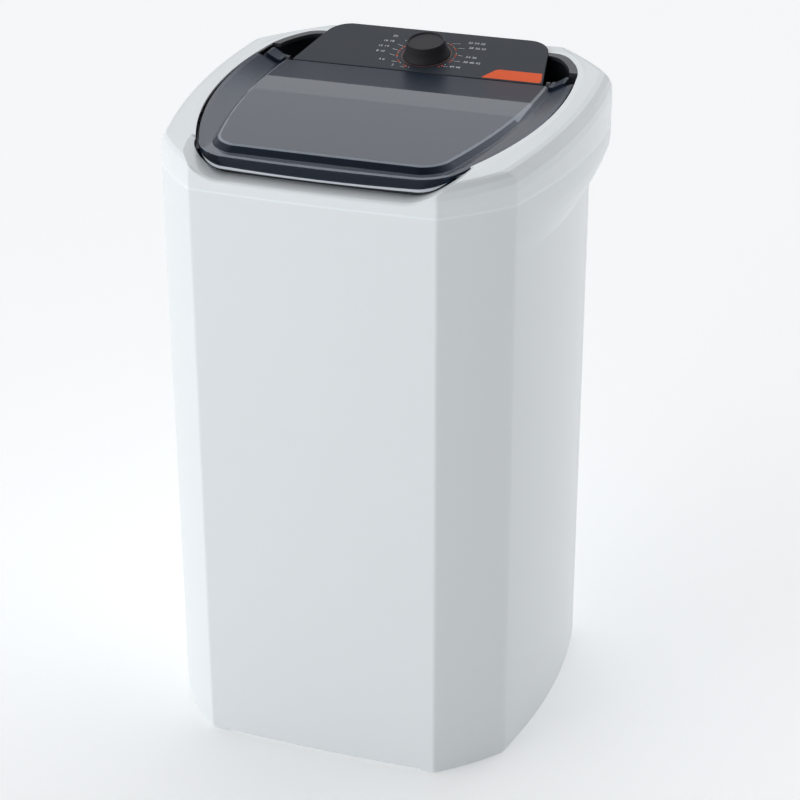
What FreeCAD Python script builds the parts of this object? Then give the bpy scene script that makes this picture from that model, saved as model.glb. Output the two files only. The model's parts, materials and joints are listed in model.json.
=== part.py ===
import FreeCAD, Part
import math
import os
from collections import namedtuple

# Top-loading washing machine with a round tub, a pulsator and a belt drive.
# Millimetres. X to the right, Y to the rear, Z up. The floor is Z = 0.
# Everything is drawn about the tub's axis and moved once, when it is saved,
# so that the middle of the machine's outline lies on the Z axis.

# Cabinet: an eight-sided shell with bowed faces and a lip that swells to the rear
cabinet_height = 898.0
front_half = 184.0
half_depth = 283.5
side_half = 268.0
corner_run = 90.0
front_bow = 6.0
corner_bow = 4.0
side_bow = 20.0
corner_round = 9.0
side_round = 24.0
cabinet_draft = 0.5
cabinet_wall = 3.0
lip_side = 28.0
lip_corner = 12.0
lip_rear = 20.0
lip_drop = 80.0
lip_land = 16.0
lip_steps = 4
skirt_gap = 5.0
skirt_round = 3.0
skirt_flange = 40.0
flange_thick = 4.0
shelf_drop = 20.0
shelf_thick = 8.0
shelf_width = 11.0

# Feet
leg_gap = 1.0
leg_width = 34.0
leg_half_x = 162.0
leg_inset = 115.5
pad_radius = 13.0
pad_thick = 5.0

# Top cover: the crown between the seam and the opening
cover_wall = 3.0
crease_rise = 20.5
crease_slope = 0.075
shoulder_side = 18.0
shoulder_front = 8.0
shoulder_drop = 2.5
shoulder_steps = 4
rim_rise = 48.6
rim_slope = 0.07
rim_land = 9.0
roll_rise = 8.0
roll_depth = 45.0
scoop_rise = 19.0
scoop_flat = 136.0
scoop_bend = 166.0
scoop_climb = 194.0
scoop_lift = 26.0
scoop_wide = 212.0
scoop_end_inset = 77.5
scoop_round = 4.0
spigot_depth = 10.0
spigot_wall = 2.6
fit_gap = 0.3

# Opening in the cover
mouth_front_half = 172.0
mouth_front_inset = 36.5
mouth_corner_half = 205.0
mouth_corner_inset = 75.5
mouth_side_half = 253.0
mouth_side_inset = 133.5
mouth_rear_half = 205.0
mouth_rear_inset = 33.5
mouth_side_bow = 27.0
mouth_corner_bow = 8.0
mouth_rear_corner_bow = 10.0
mouth_front_bow = 2.0
mouth_rear_bow = 4.0
mouth_rounds = [18.0, 30.0, 60.0, 40.0]

# Inner frame under the lid
frame_gap = 0.5
frame_wall = 3.0
frame_flange = 12.0
frame_floor_drop = 17.0
frame_ledge_drop = 14.0
frame_ledge = 14.0
frame_front_drop = 22.0
throat_radius = 222.0
throat_rear_inset = 158.5
throat_depth = 44.0
ramp_start_inset = 19.5
ramp_end_inset = 63.5
frame_step_inset = 107.5

# Lid: a smoked tray with a raised window and a deep front lip
lid_gap = 2.0
lid_front_half = 148.0
lid_front_inset = 27.0
lid_front_bow = 4.5
lid_corner_in = 4.5
lid_corner_bow = 10.0
lid_rounds = [30.0, 40.0, 60.0, 40.0]
lid_skin = 3.5
lid_lip = 4.0
lid_land = 7.0
lid_rear_inset = 144.5
lid_edge_drop = 10.0
lid_front_clear = 4.0
lid_front_drop = 5.9
lid_slope = 0.084
tray_drop = 5.5
tray_slope = 0.05
window_rise = 4.8
window_slope = 0.035
window_run = 11.0
window_edge = 1.8
window_root = 1.0
window_front_half = 140.0
window_front_inset = 54.5
window_corner_half = 172.0
window_corner_inset = 85.5
window_side_half = 208.0
window_side_inset = 103.5
window_rear_half = 190.0
window_rear_inset = 51.5
window_side_bow = 16.0
window_corner_bow = 6.0
window_rear_corner_bow = 8.0
window_front_bow = 1.0
window_rear_bow = 3.0
window_rounds = [20.0, 40.0, 40.0, 30.0]

# Lid hinge
hinge_inset = 133.5
hinge_drop = 15.0
hinge_pin_radius = 3.0
hinge_play = 0.06
barrel_radius = 7.0
arm_inner = 215.5
arm_outer = 240.5
arm_rise = 5.0
lug_gap = 1.5
lug_thick = 6.0
buffer_radius = 4.0
buffer_front = 100.0
buffer_rear = 60.0

# Control panel
panel_front_inset = 139.5
panel_front_half = 203.0
panel_rear_inset = 10.1
panel_rear_half = 176.0
panel_front_rise = 68.0
panel_slope = 0.22
panel_thick = 5.0
panel_wall = 3.0
panel_margin = 4.0
panel_corner = 38.0
panel_edge_round = 1.5
panel_box_inset = 39.5
boss_radius = 5.0
accent_tip = 105.0
accent_shoulder = 122.0
accent_front = 3.5
accent_rear = 31.0
accent_margin = 3.0
accent_depth = 1.0
accent_proud = 0.3
accent_rounds = [1.0, 4.0, 1.0, 12.0]

# Timer and knob
knob_inset = 85.0
knob_radius = 34.0
knob_top_radius = 29.5
knob_height = 24.0
knob_dish = 2.0
knob_ring = 2.6
knob_gap = 1.0
timer_size = 56.0
timer_depth = 30.0
timer_neck = 7.5
timer_neck_gap = 0.4
timer_shaft_radius = 3.0
timer_play = 0.06
timer_neck_reach = 5.0
timer_nut_radius = 12.0
timer_nut_thick = 3.5
stem_radius = 7.0
stem_gap = 1.5

# Tub
tub_radius = 250.0
tub_foot_radius = 228.0
tub_wall = 3.5
tub_floor = 5.0
tub_bottom = 275.0
tub_round = 26.0
tub_flange_thick = 4.0
tub_rib_count = 12
tub_rib_height = 10.0
tub_rib_thick = 3.0
tub_rib_inner = 68.0
tub_rib_outer = 205.0

# Bearing, shaft and pulsator
shaft_radius = 8.5
shaft_play = 0.05
housing_radius = 60.0
housing_flange = 8.0
housing_hub = 26.0
housing_web_sink = 1.0
housing_neck = 22.0
housing_bottom = 215.0
neck_rise = 12.0
bush_radius = 14.0
bush_length = 20.0
seal_radius = 17.0
seal_depth = 8.0
housing_bolts = 6
housing_bolt_circle = 48.0
bolt_radius = 3.0
bolt_gap = 0.2
bolt_head = 5.0
bolt_head_thick = 4.0
pulsator_radius = 165.0
pulsator_gap = 4.0
pulsator_rim = 7.0
pulsator_crown = 13.0
pulsator_hub = 32.0
pulsator_height = 58.0
vane_count = 4
vane_inner = 26.0
vane_outer = 152.0
vane_sweep = 26.0
vane_root = 30.0
vane_tip = 15.0
vane_height = 36.0
vane_drop = 22.0
cap_radius = 18.0
cap_thick = 6.0
hub_depth = 30.0
screw_shank = 4.0
screw_seat = 6.0
pulsator_head = 9.0
pulsator_head_thick = 6.0

# Belt drive
drive_radius = 112.0
motor_drive_radius = 25.0
pulley_width = 18.0
pulley_gap = 4.0
pulley_lip = 4.0
groove_gap = 0.5
groove_floor = 1.5
belt_top = 10.0
belt_bottom = 7.0
belt_thick = 6.0
pulley_hub = 22.0
pulley_web = 5.0
pulley_rim = 9.0
pulley_hole = 23.0
pulley_holes = 5
stub_radius = 6.0
nut_radius = 11.0
nut_thick = 9.0
stub_proud = 2.0

# Motor on its bracket
motor_y = 165.0
motor_radius = 62.0
motor_stack = 88.0
motor_bell = 18.0
motor_bell_step = 8.0
motor_shaft_radius = 6.0
motor_boss = 16.0
rotor_radius = 38.0
rotor_gap = 0.6
bracket_gap = 5.0
bracket_thick = 3.0
bracket_half = 104.0
bracket_front = 100.0
bracket_rear = 230.0
bracket_bend = 14.0
post_radius = 8.0
post_front_x = 88.0
post_front_y = 122.0
post_rear_x = 78.0
post_rear_y = 186.0
ear_circle = 70.0
ear_radius = 9.0
ear_thick = 6.0
grommet_thick = 4.0
grommet_radius = 8.0
capacitor_x = 92.0
capacitor_y = 160.0
capacitor_radius = 19.0
capacitor_length = 74.0
clip_thick = 2.0
clip_height = 18.0

# Drain and cord entry
drain_angle = 150.0
drain_circle = 163.0
drain_radius = 14.0
drain_wall = 3.0
drain_bend = 40.0
drain_height = 175.0
drain_flange = 24.0
drain_flange_thick = 4.0
outlet_radius = 12.0
outlet_neck = 13.5
outlet_wall = 2.5
outlet_reach = 18.0
outlet_flange = 19.0
outlet_flange_thick = 3.0
outlet_socket = 22.0
gland_x = 140.0
gland_height = 175.0
gland_bore = 4.5
gland_neck = 10.0
gland_flange = 14.0
gland_flange_thick = 3.0
wall_gap = 0.2

# Lint filter on the tub wall
filter_half = 45.0
filter_height = 160.0
filter_bottom = 600.0
filter_thick = 9.0
filter_frame = 9.0
filter_wall_gap = 12.0
filter_slots = 7
filter_bar = 3.0
filter_mesh = 1.0
rail_thick = 4.0
rail_lip = 4.0
rail_gap = 0.5
filter_lift = 40.0

# Wiring
loom_radius = 4.0
loom_x = 22.0
loom_inset = 21.5
loom_deck_inset = 48.5
loom_start_inset = 68.5
loom_bend = 8.0
loom_hole = 5.5
loom_run = 14.0
loom_cross = 10.0
loom_end = 120.0
loom_clips = 3
loom_clip_pitch = 220.0
loom_clip_first = 230.0
loom_clip_half = 7.0

# Fasteners
screw_radius = 2.0
screw_head = 4.0
screw_head_thick = 2.5
cover_screw_x = 110.0
cover_screw_drop = 4.0
cover_screw_head = 3.0
cover_screw_sink = 1.5
console_screw_x = 160.0
console_front_inset = 115.5
console_rear_inset = 55.5
console_screw_length = 12.0

# Larger than the machine, for cutting, and smaller than any gap, for comparing
reach = 700.0
touch = 1e-4
# Steers a curve along a quarter of an ellipse
quarter = 4 / 3 * (math.sqrt(2) - 1)
Plan = namedtuple("Plan", "right sides front rear radii")
Vec = FreeCAD.Vector
X, Y, Z = Vec(1, 0, 0), Vec(0, 1, 0), Vec(0, 0, 1)

# Places measured in from the front and rear faces
corner_back = half_depth - corner_run
leg_half_y = half_depth - leg_inset
scoop_end = half_depth - scoop_end_inset
mouth_front = half_depth - mouth_front_inset
mouth_corner = half_depth - mouth_corner_inset
mouth_side = half_depth - mouth_side_inset
mouth_rear = half_depth - mouth_rear_inset
throat_rear = half_depth - throat_rear_inset
ramp_start = half_depth - ramp_start_inset
ramp_end = half_depth - ramp_end_inset
frame_step = half_depth - frame_step_inset
lid_front = half_depth - lid_front_inset
lid_rear = half_depth - lid_rear_inset
window_front = half_depth - window_front_inset
window_corner = half_depth - window_corner_inset
window_side = half_depth - window_side_inset
window_rear = half_depth - window_rear_inset
hinge_y = half_depth - hinge_inset
panel_front = half_depth - panel_front_inset
panel_rear = half_depth - panel_rear_inset
panel_box_rear = half_depth - panel_box_inset
knob_y = half_depth - knob_inset
loom_y = half_depth - loom_inset
loom_deck_y = half_depth - loom_deck_inset
loom_start_y = half_depth - loom_start_inset
console_screw_front = half_depth - console_front_inset
console_screw_rear = half_depth - console_rear_inset

# Levels that several pieces share
seam = cabinet_height
lip_start = seam - lip_drop
shelf_top = seam - shelf_drop
flange_top = shelf_top + tub_flange_thick
frame_floor = seam + frame_floor_drop
scoop_level = seam + scoop_rise
tub_inside = tub_bottom + tub_floor
neck_top = tub_inside + neck_rise
pulley_top = housing_bottom - pulley_gap
pulley_bottom = pulley_top - pulley_width
belt_level = (pulley_top + pulley_bottom) / 2
bracket_top = pulley_bottom - bracket_gap
bracket_bottom = bracket_top - bracket_thick
bell_top = bracket_bottom - grommet_thick
pulsator_bottom = neck_top + pulsator_gap
front_reach = half_depth + front_bow
rear_reach = half_depth + lip_rear
centre_shift = (front_reach - rear_reach) / 2
panel_front_level = seam + panel_front_rise
panel_angle = math.degrees(math.atan(panel_slope))
drain_x = drain_circle * math.cos(math.radians(drain_angle))
drain_y = drain_circle * math.sin(math.radians(drain_angle))


def flat(height):
    """A level plane."""
    return lambda y: height


def tilted(height, slope, start):
    """A plane that climbs to the rear from a height at a given Y."""
    return lambda y: height + slope * (y - start)


rim_level = tilted(seam + rim_rise, rim_slope, -half_depth)
lid_level = tilted(seam + rim_rise - lid_front_drop, lid_slope, -half_depth)
tray_level = tilted(seam + rim_rise - tray_drop, tray_slope, -half_depth)
window_level = tilted(seam + rim_rise + window_rise, window_slope, -half_depth)
crease_level = tilted(seam + crease_rise, crease_slope, -corner_back)
panel_level = tilted(panel_front_level, panel_slope, panel_front)
hinge_z = rim_level(hinge_y) - hinge_drop


def lowered(level, drop):
    """The same plane, moved down."""
    return lambda y: level(y) - drop


def between(low, high, share):
    """A plane part of the way from one plane to another."""
    return lambda y: low(y) + share * (high(y) - low(y))


def moved_in(corners, inset):
    """Corners of a loop whose sides move inward by one inset or by one for each side."""
    count = len(corners)
    insets = inset if isinstance(inset, list) else [inset] * count
    lines = []
    for i in range(count):
        ax, ay = corners[i]
        bx, by = corners[(i + 1) % count]
        length = math.hypot(bx - ax, by - ay)
        nx, ny = (by - ay) / length, (ax - bx) / length
        lines.append((nx, ny, nx * ax + ny * ay - insets[i]))
    moved = []
    for i in range(count):
        a, b, c = lines[i - 1]
        d, e, f = lines[i]
        det = a * e - b * d
        moved.append(((c * e - b * f) / det, (a * f - c * d) / det))
    return moved


def rounded_loop(corners, bows, radii, level):
    """A closed wire: bowed sides joined by corner arcs, on a level or tilted plane."""
    count = len(corners)

    def side(i):
        ax, ay = corners[i]
        bx, by = corners[(i + 1) % count]
        return ax, ay, bx - ax, by - ay, math.hypot(bx - ax, by - ay)

    def point(i, s):
        ax, ay, dx, dy, length = side(i)
        out = 4 * bows[i] * s * (1 - s) / length
        return ax + s * dx + out * dy, ay + s * dy - out * dx

    def heading(i, s):
        ax, ay, dx, dy, length = side(i)
        turn = 4 * bows[i] * (1 - 2 * s) / length
        return math.atan2(dy - turn * dx, dx + turn * dy)

    def bend(i, before, after):
        turn = heading(i, after) - heading(i - 1, before)
        return (turn + math.pi) % (2 * math.pi) - math.pi

    def space(p):
        return Vec(p[0], p[1], level(p[1]))

    trims = [radii[i] * math.tan(abs(bend(i, 1, 0)) / 2) for i in range(count)]
    starts = [trims[i] / side(i)[4] for i in range(count)]
    ends = [1 - trims[(i + 1) % count] / side(i)[4] for i in range(count)]
    edges = []
    for i in range(count):
        first = point(i - 1, ends[i - 1])
        last = point(i, starts[i])
        if radii[i]:
            turn = bend(i, ends[i - 1], starts[i])
            chord = math.dist(first, last)
            sag = chord / 2 * math.tan(turn / 4)
            mid_x = (first[0] + last[0]) / 2 + sag * (last[1] - first[1]) / chord
            mid_y = (first[1] + last[1]) / 2 - sag * (last[0] - first[0]) / chord
            edges.append(Part.Arc(space(first), space((mid_x, mid_y)), space(last)).toShape())
        far = point(i, ends[i])
        if bows[i]:
            middle = point(i, (starts[i] + ends[i]) / 2)
            edges.append(Part.Arc(space(last), space(middle), space(far)).toShape())
        else:
            edges.append(Part.makeLine(space(last), space(far)))
    return Part.Wire(edges)


def mirrored(right):
    """A whole loop from its right-hand corners, front to rear."""
    return right + [(-x, y) for x, y in reversed(right)]


def outline(plan, level, inset=0.0):
    """The wire of a plan that mirrors about X = 0."""
    corners = moved_in(mirrored(plan.right), inset)
    bows = plan.sides + [plan.rear] + plan.sides[::-1] + [plan.front]
    return rounded_loop(corners, bows, plan.radii + plan.radii[::-1], level)


def prism(plan, low, high, inset=0.0):
    """A plan drawn straight up between two heights."""
    return Part.Face(outline(plan, flat(low), inset)).extrude(Z * (high - low))


def skin(sections):
    """A solid drawn straight from one outline to the next."""
    return Part.makeLoft(sections, True, True)


def curve(points):
    """A smooth edge steered by its points."""
    bend = Part.BezierCurve()
    bend.setPoles(points)
    return bend.toShape()


def side_region(level, far, ramp=None):
    """All that lies between a side profile and a far height. The profile follows
    a plane; a ramp holds it at one height in front and sweeps up to the plane."""
    back = Vec(-reach, reach, level(reach))
    if ramp:
        start, height, end = ramp
        middle = (start + end) / 2
        poles = [(start, height), (middle, height), (middle, level(end)), (end, level(end))]
        sweep = curve([Vec(-reach, y, z) for y, z in poles])
        front = Vec(-reach, -reach, height)
        edges = [Part.makeLine(front, Vec(-reach, start, height)), sweep,
                 Part.makeLine(Vec(-reach, end, level(end)), back)]
    else:
        front = Vec(-reach, -reach, level(-reach))
        edges = [Part.makeLine(front, back)]
    far_back = Vec(-reach, reach, far)
    far_front = Vec(-reach, -reach, far)
    edges += [Part.makeLine(back, far_back), Part.makeLine(far_back, far_front)]
    edges.append(Part.makeLine(far_front, front))
    return Part.Face(Part.Wire(edges)).extrude(X * (2 * reach))


def above(level, ramp=None):
    return side_region(level, 2 * cabinet_height, ramp)


def under(level, ramp=None):
    return side_region(level, -cabinet_height, ramp)


def block(x0, x1, y0, y1, z0, z1):
    return Part.makeBox(x1 - x0, y1 - y0, z1 - z0, Vec(x0, y0, z0))


def rod(radius, low, high, x=0.0, y=0.0):
    """An upright cylinder."""
    return Part.makeCylinder(radius, high - low, Vec(x, y, low))


def tube(radius, bore, low, high, x=0.0, y=0.0):
    return rod(radius, low, high, x, y).cut(rod(bore, low, high, x, y))


def hexagon(radius, low, high, x=0.0, y=0.0):
    """A six-sided bolt head or nut."""
    turns = [math.pi / 3 * i for i in range(7)]
    points = [Vec(x + radius * math.cos(turn), y + radius * math.sin(turn), low) for turn in turns]
    return Part.Face(Part.makePolygon(points)).extrude(Z * (high - low))


def turned(points):
    """A solid turned about the Z axis from points given as radius and height."""
    loop = [Vec(r, 0, z) for r, z in points]
    return Part.Face(Part.makePolygon(loop + loop[:1])).revolve(Vec(0, 0, 0), Z, 360)


def both_sides(shape):
    """A piece and its mirror image in the plane X = 0."""
    return [shape, shape.mirror(Vec(0, 0, 0), X)]


def around(shape, count, start=0.0, centre=(0.0, 0.0)):
    """Copies of a piece spaced evenly about an upright axis."""
    copies = []
    for i in range(count):
        copy = shape.copy()
        copy.rotate(Vec(centre[0], centre[1], 0), Z, start + 360.0 * i / count)
        copies.append(copy)
    return copies


def onto_panel(shape, y):
    """Lays an upright piece on the sloping panel, its axis square to the panel."""
    laid = shape.copy()
    laid.rotate(Vec(0, 0, 0), X, panel_angle)
    laid.translate(Vec(0, y, panel_level(y)))
    return laid


def pipe(points, radius, bend):
    """A round rod along straight runs with bends of one radius."""
    edges = []
    start = points[0]
    for corner, after in zip(points[1:-1], points[2:]):
        into = (corner - start).normalize()
        out = (after - corner).normalize()
        trim = bend * math.tan(into.getAngle(out) / 2)
        first = corner - into * trim
        last = corner + out * trim
        inward = (out - into).normalize()
        centre_gap = bend / math.cos(into.getAngle(out) / 2)
        middle = corner + inward * (centre_gap - bend)
        edges += [Part.makeLine(start, first), Part.Arc(first, middle, last).toShape()]
        start = last
    edges.append(Part.makeLine(start, points[-1]))
    ring = Part.Wire(Part.makeCircle(radius, points[0], points[1] - points[0]))
    return Part.Wire(edges).makePipeShell([ring], True, False)


def soften(shape, radius, chosen):
    """Rounds the edges that the test picks."""
    return shape.makeFillet(radius, [edge for edge in shape.Edges if chosen(edge)])


def rear_face(height):
    """Y of the cabinet's rear wall, outside, at a height below the lip."""
    return half_depth - cabinet_draft * (lip_start - height) / (lip_start - skirt_gap)


def save(name, pieces):
    """Writes one node, moved from the tub's axis to the machine's middle."""
    pieces = pieces if isinstance(pieces, list) else [pieces]
    solids = [solid for piece in pieces for solid in piece.Solids]
    shape = solids[0] if len(solids) == 1 else Part.makeCompound(solids)
    shape = shape.removeSplitter() if len(solids) == 1 else shape
    shape.translate(Vec(0, centre_shift, 0))
    shape.exportStep("parts/" + name + ".step")


def body_plan(flare):
    """The cabinet's plan, with its lip swollen from nothing to full at the sides and rear."""
    right = [(front_half, -half_depth),
             (side_half, -corner_back),
             (side_half + flare * lip_side, corner_back + flare * lip_corner),
             (front_half + flare * lip_corner, half_depth + flare * lip_rear)]
    rounds = [corner_round, side_round, side_round, corner_round]
    return Plan(right, [corner_bow, side_bow, corner_bow], front_bow, 0.0, rounds)


def mouth_plan():
    right = [(mouth_front_half, -mouth_front), (mouth_corner_half, -mouth_corner),
             (mouth_side_half, mouth_side), (mouth_rear_half, mouth_rear)]
    sides = [mouth_corner_bow, mouth_side_bow, mouth_rear_corner_bow]
    return Plan(right, sides, mouth_front_bow, mouth_rear_bow, mouth_rounds)


def lid_plan():
    inner = moved_in(mirrored(mouth_plan().right), lid_gap)
    right = [(lid_front_half, -lid_front), (mouth_corner_half - lid_corner_in, -mouth_corner + lid_gap),
             inner[2], inner[3]]
    sides = [lid_corner_bow, mouth_side_bow, mouth_rear_corner_bow]
    return Plan(right, sides, lid_front_bow, mouth_rear_bow, lid_rounds)


def window_plan():
    right = [(window_front_half, -window_front), (window_corner_half, -window_corner),
             (window_side_half, window_side), (window_rear_half, window_rear)]
    sides = [window_corner_bow, window_side_bow, window_rear_corner_bow]
    return Plan(right, sides, window_front_bow, window_rear_bow, window_rounds)


def panel_plan():
    right = [(panel_front_half, panel_front), (panel_rear_half, panel_rear)]
    return Plan(right, [0.0], 0.0, 0.0, [panel_wall, panel_corner])


def foot_spots():
    """Middles of the four pads, under the slanted corners."""
    run_x, run_y = side_half - front_half, half_depth - corner_back
    length = math.hypot(run_x, run_y)
    inward = cabinet_draft + leg_width / 2
    x = (front_half + side_half) / 2 - inward * run_y / length
    y = (half_depth + corner_back) / 2 - inward * run_x / length
    return [(sx * x, sy * y) for sx in (-1, 1) for sy in (-1, 1)]


def cabinet():
    plain, full = body_plan(0.0), body_plan(1.0)
    flange_top_level = skirt_gap + flange_thick

    def shell(inset, low, high):
        sections = [outline(plain, flat(low), cabinet_draft + inset)]
        for i in range(lip_steps + 1):
            share = i / lip_steps
            height = lip_start + share * (lip_drop - lip_land)
            sections.append(outline(body_plan(1 - (1 - share) ** 2), flat(height), inset))
        return skin(sections + [outline(full, flat(high), inset)])

    outer = shell(0.0, skirt_gap, seam)
    outer = soften(outer, skirt_round, lambda edge: edge.BoundBox.ZMax < skirt_gap + fit_gap)
    shelf = outer.common(block(-reach, reach, -reach, reach, shelf_top - shelf_thick, shelf_top))
    shelf = shelf.cut(prism(plain, 0, seam, cabinet_wall + shelf_width))
    body = outer.cut(shell(cabinet_wall, flange_top_level, seam + cabinet_wall))
    body = body.cut(prism(plain, 0, flange_top_level + cabinet_wall, cabinet_draft + skirt_flange))
    legs = prism(plain, leg_gap, skirt_gap + flange_thick / 2, cabinet_draft + skirt_round)
    legs = legs.cut(prism(plain, 0, seam, cabinet_draft + leg_width))
    legs = legs.cut(block(-leg_half_x, leg_half_x, -reach, reach, 0, seam))
    legs = legs.cut(block(-reach, reach, -leg_half_y, leg_half_y, 0, seam))
    body = body.fuse([shelf, legs])
    for x, y in foot_spots():
        body = body.cut(rod(pad_radius, 0, pad_thick, x, y))
    rear = rear_face(drain_height) - skirt_flange
    outlet = Part.makeCylinder(outlet_neck + wall_gap, reach, Vec(drain_x, rear, drain_height), Y)
    body = body.cut(outlet)
    body = body.cut(Part.makeCylinder(gland_neck + wall_gap, reach, Vec(gland_x, rear, gland_height), Y))
    return body.cut(cover_screw_shapes())


def foot_pads():
    return [rod(pad_radius, 0, pad_thick, x, y) for x, y in foot_spots()]


def front_roll(inset):
    """What lies outside the crown's rolled front, a quarter of an ellipse seen from the side."""
    low = seam + roll_rise
    front, rear = inset - front_reach - fit_gap, roll_depth - front_reach
    high, top = rim_level(rear) - inset, 2 * seam
    poles = [(front, low), (front, low + quarter * (high - low)),
             (rear - quarter * (rear - front), high), (rear, high)]
    rest = [(rear, high), (rear, top), (-reach, top), (-reach, low), (front, low)]
    edges = [curve([Vec(-reach, y, z) for y, z in poles])]
    edges += Part.makePolygon([Vec(-reach, y, z) for y, z in rest]).Edges
    return Part.Face(Part.Wire(edges)).extrude(X * (2 * reach))


def scoop(inset):
    """The dip in the front of the crown: level in the middle, climbing to the rim at both ends."""
    low, high, top = scoop_level - inset, rim_level(-scoop_end) - inset, 2 * seam
    poles = [(scoop_flat, low), (scoop_bend, low), (scoop_climb, low + scoop_lift), (scoop_wide, high)]
    right = curve([Vec(x, -reach, z) for x, z in poles])
    left = curve([Vec(-x, -reach, z) for x, z in poles])
    rest = [(scoop_wide, high), (scoop_wide, top), (-scoop_wide, top), (-scoop_wide, high)]
    edges = [left, Part.makeLine(Vec(-scoop_flat, -reach, low), Vec(scoop_flat, -reach, low)), right]
    edges += Part.makePolygon([Vec(x, -reach, z) for x, z in rest]).Edges
    return Part.Face(Part.Wire(Part.sortEdges(edges)[0])).extrude(Y * (reach - scoop_end))


def top_cover():
    full, mouth = body_plan(1.0), mouth_plan()

    def crown(inset, base, steps):
        rim = lowered(rim_level, inset)
        crease = lowered(crease_level, inset)
        brow = lowered(rim, shoulder_drop)
        sections = [outline(full, flat(base), inset)]
        for i in range(steps + 1):
            turn = math.pi / 2 * i / steps
            side = inset + shoulder_side * (1 - math.cos(turn))
            front = inset + shoulder_front * (1 - math.cos(turn))
            insets = [front, side, side, side, side, side, front, front]
            sections.append(outline(full, between(crease, brow, math.sin(turn)), insets))
        return skin(sections + [outline(mouth, rim, inset - rim_land)])

    def trimmed(inset, base, steps):
        return crown(inset, base, steps).cut([front_roll(inset), scoop(inset)])

    cover = trimmed(0.0, seam, shoulder_steps)
    cover = cover.cut(trimmed(cover_wall, seam - cover_wall, shoulder_steps // 2))
    cover = cover.cut(prism(mouth, seam - cover_wall, 2 * seam))
    outer_inset = cabinet_wall + fit_gap
    inner_inset = outer_inset + spigot_wall
    spigot = prism(full, seam - spigot_depth, seam, outer_inset)
    root = prism(full, seam, seam + spigot_wall, cover_wall - fit_gap)
    ring = spigot.fuse(root).cut(prism(full, seam - spigot_depth, seam + spigot_wall, inner_inset))
    cover = cover.fuse(ring).cut(cover_screw_shapes()).removeSplitter()
    return soften(cover, scoop_round, on_scoop_edge)


def on_scoop_edge(edge):
    """True for the level middle of the edge between the crown's front and the dip."""
    box = edge.BoundBox
    level = box.ZMin > scoop_level - fit_gap
    return level and box.YMax < -half_depth and max(box.XMax, -box.XMin) < scoop_flat + fit_gap


def cover_screw_shapes():
    """Sunk screws through the cabinet's rear lip into the cover's inner ring."""
    screws = []
    height = seam - cover_screw_drop
    face = half_depth + lip_rear
    for x in (-cover_screw_x, cover_screw_x):
        seat = Vec(x, face - cover_screw_sink, height)
        head = Part.makeCylinder(cover_screw_head, cover_screw_sink, seat, Y)
        length = cabinet_wall + fit_gap + spigot_wall
        shank = Part.makeCylinder(screw_radius, length, Vec(x, face - length, height), Y)
        screws.append(head.fuse(shank))
    return screws


def throat(grow, low, high):
    """The round way into the tub, cut off straight at the rear by the console deck."""
    rear = throat_rear + grow
    return rod(throat_radius + grow, low, high).cut(block(-reach, reach, rear, reach, low, high))


def hinge_bars(radius, inner, outer):
    """Rods along the lid's hinge axis, one each side."""
    bar = Part.makeCylinder(radius, outer - inner, Vec(inner, hinge_y, hinge_z), X)
    return both_sides(bar)


def hinge_lug(inner, outer):
    """An upright cheek with a round head about the hinge axis."""
    front, rear = hinge_y - barrel_radius, hinge_y + barrel_radius
    foot = block(inner, outer, front, rear, frame_floor - frame_wall, hinge_z)
    head = Part.makeCylinder(barrel_radius, outer - inner, Vec(inner, hinge_y, hinge_z), X)
    return foot.fuse(head)


def inner_frame():
    mouth = mouth_plan()
    deck_bottom = frame_floor - frame_wall

    def ring(width):
        low, high = flange_top, 2 * seam
        return prism(mouth, low, high, frame_gap).cut(prism(mouth, low, high, frame_gap + width))

    behind = block(-reach, reach, frame_step, reach, 0, 2 * seam)
    ledge_top = lowered(rim_level, frame_ledge_drop)
    ramp = (-ramp_start, seam + frame_front_drop, -ramp_end)
    wall = ring(frame_wall)
    front_wall = wall.cut(behind).cut(above(ledge_top, ramp))
    rear_wall = wall.common(behind).cut(above(rim_level))
    ledge = ring(frame_ledge).cut(above(ledge_top)).cut(under(lowered(ledge_top, frame_wall)))
    ledge_end = lid_rear - barrel_radius - lug_gap
    ledge = ledge.common(block(-reach, reach, -ramp_end, ledge_end, 0, 2 * seam))
    flange = ring(frame_flange).common(behind).cut(above(rim_level))
    flange = flange.cut(under(lowered(rim_level, 2 * frame_wall)))
    seat = prism(panel_plan(), seam, 2 * seam, -frame_gap).cut(under(lowered(panel_level, panel_thick)))
    hood = prism(panel_plan(), frame_floor, 2 * seam, panel_margin - frame_gap)
    hood = hood.cut(block(-reach, reach, panel_box_rear + frame_gap, reach, 0, 2 * seam))
    floor = prism(mouth, deck_bottom, frame_floor, frame_gap + frame_wall / 2)
    lip = throat(frame_wall, frame_floor - throat_depth, frame_floor)
    lugs = both_sides(hinge_lug(arm_inner - lug_gap - lug_thick, arm_inner - lug_gap))
    outer_lug = hinge_lug(arm_outer + lug_gap, mouth_side_half)
    lugs += both_sides(outer_lug.common(prism(mouth, 0, 2 * seam, frame_gap + frame_wall / 2)))
    frame = front_wall.fuse([rear_wall, ledge, flange, floor, lip] + lugs).cut([seat, hood])
    frame = frame.cut(throat(0.0, flange_top - throat_depth, 2 * seam).cut(above(flat(frame_floor))))
    frame = frame.cut(hinge_bars(hinge_pin_radius, arm_inner - lug_gap - lug_thick, mouth_side_half))
    frame = frame.cut(rod(loom_hole, deck_bottom, frame_floor, loom_x, loom_deck_y))
    passage = block(loom_x - loom_hole, loom_x + loom_hole, loom_deck_y, reach, flange_top, deck_bottom)
    frame = frame.cut(passage)
    return frame.cut([rod(screw_radius, 0, frame_floor, x, y) for x, y in console_screw_spots()])


def hinge_pins():
    return hinge_bars(hinge_pin_radius, arm_inner - lug_gap - lug_thick, arm_outer + lug_gap + lug_thick)


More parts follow.
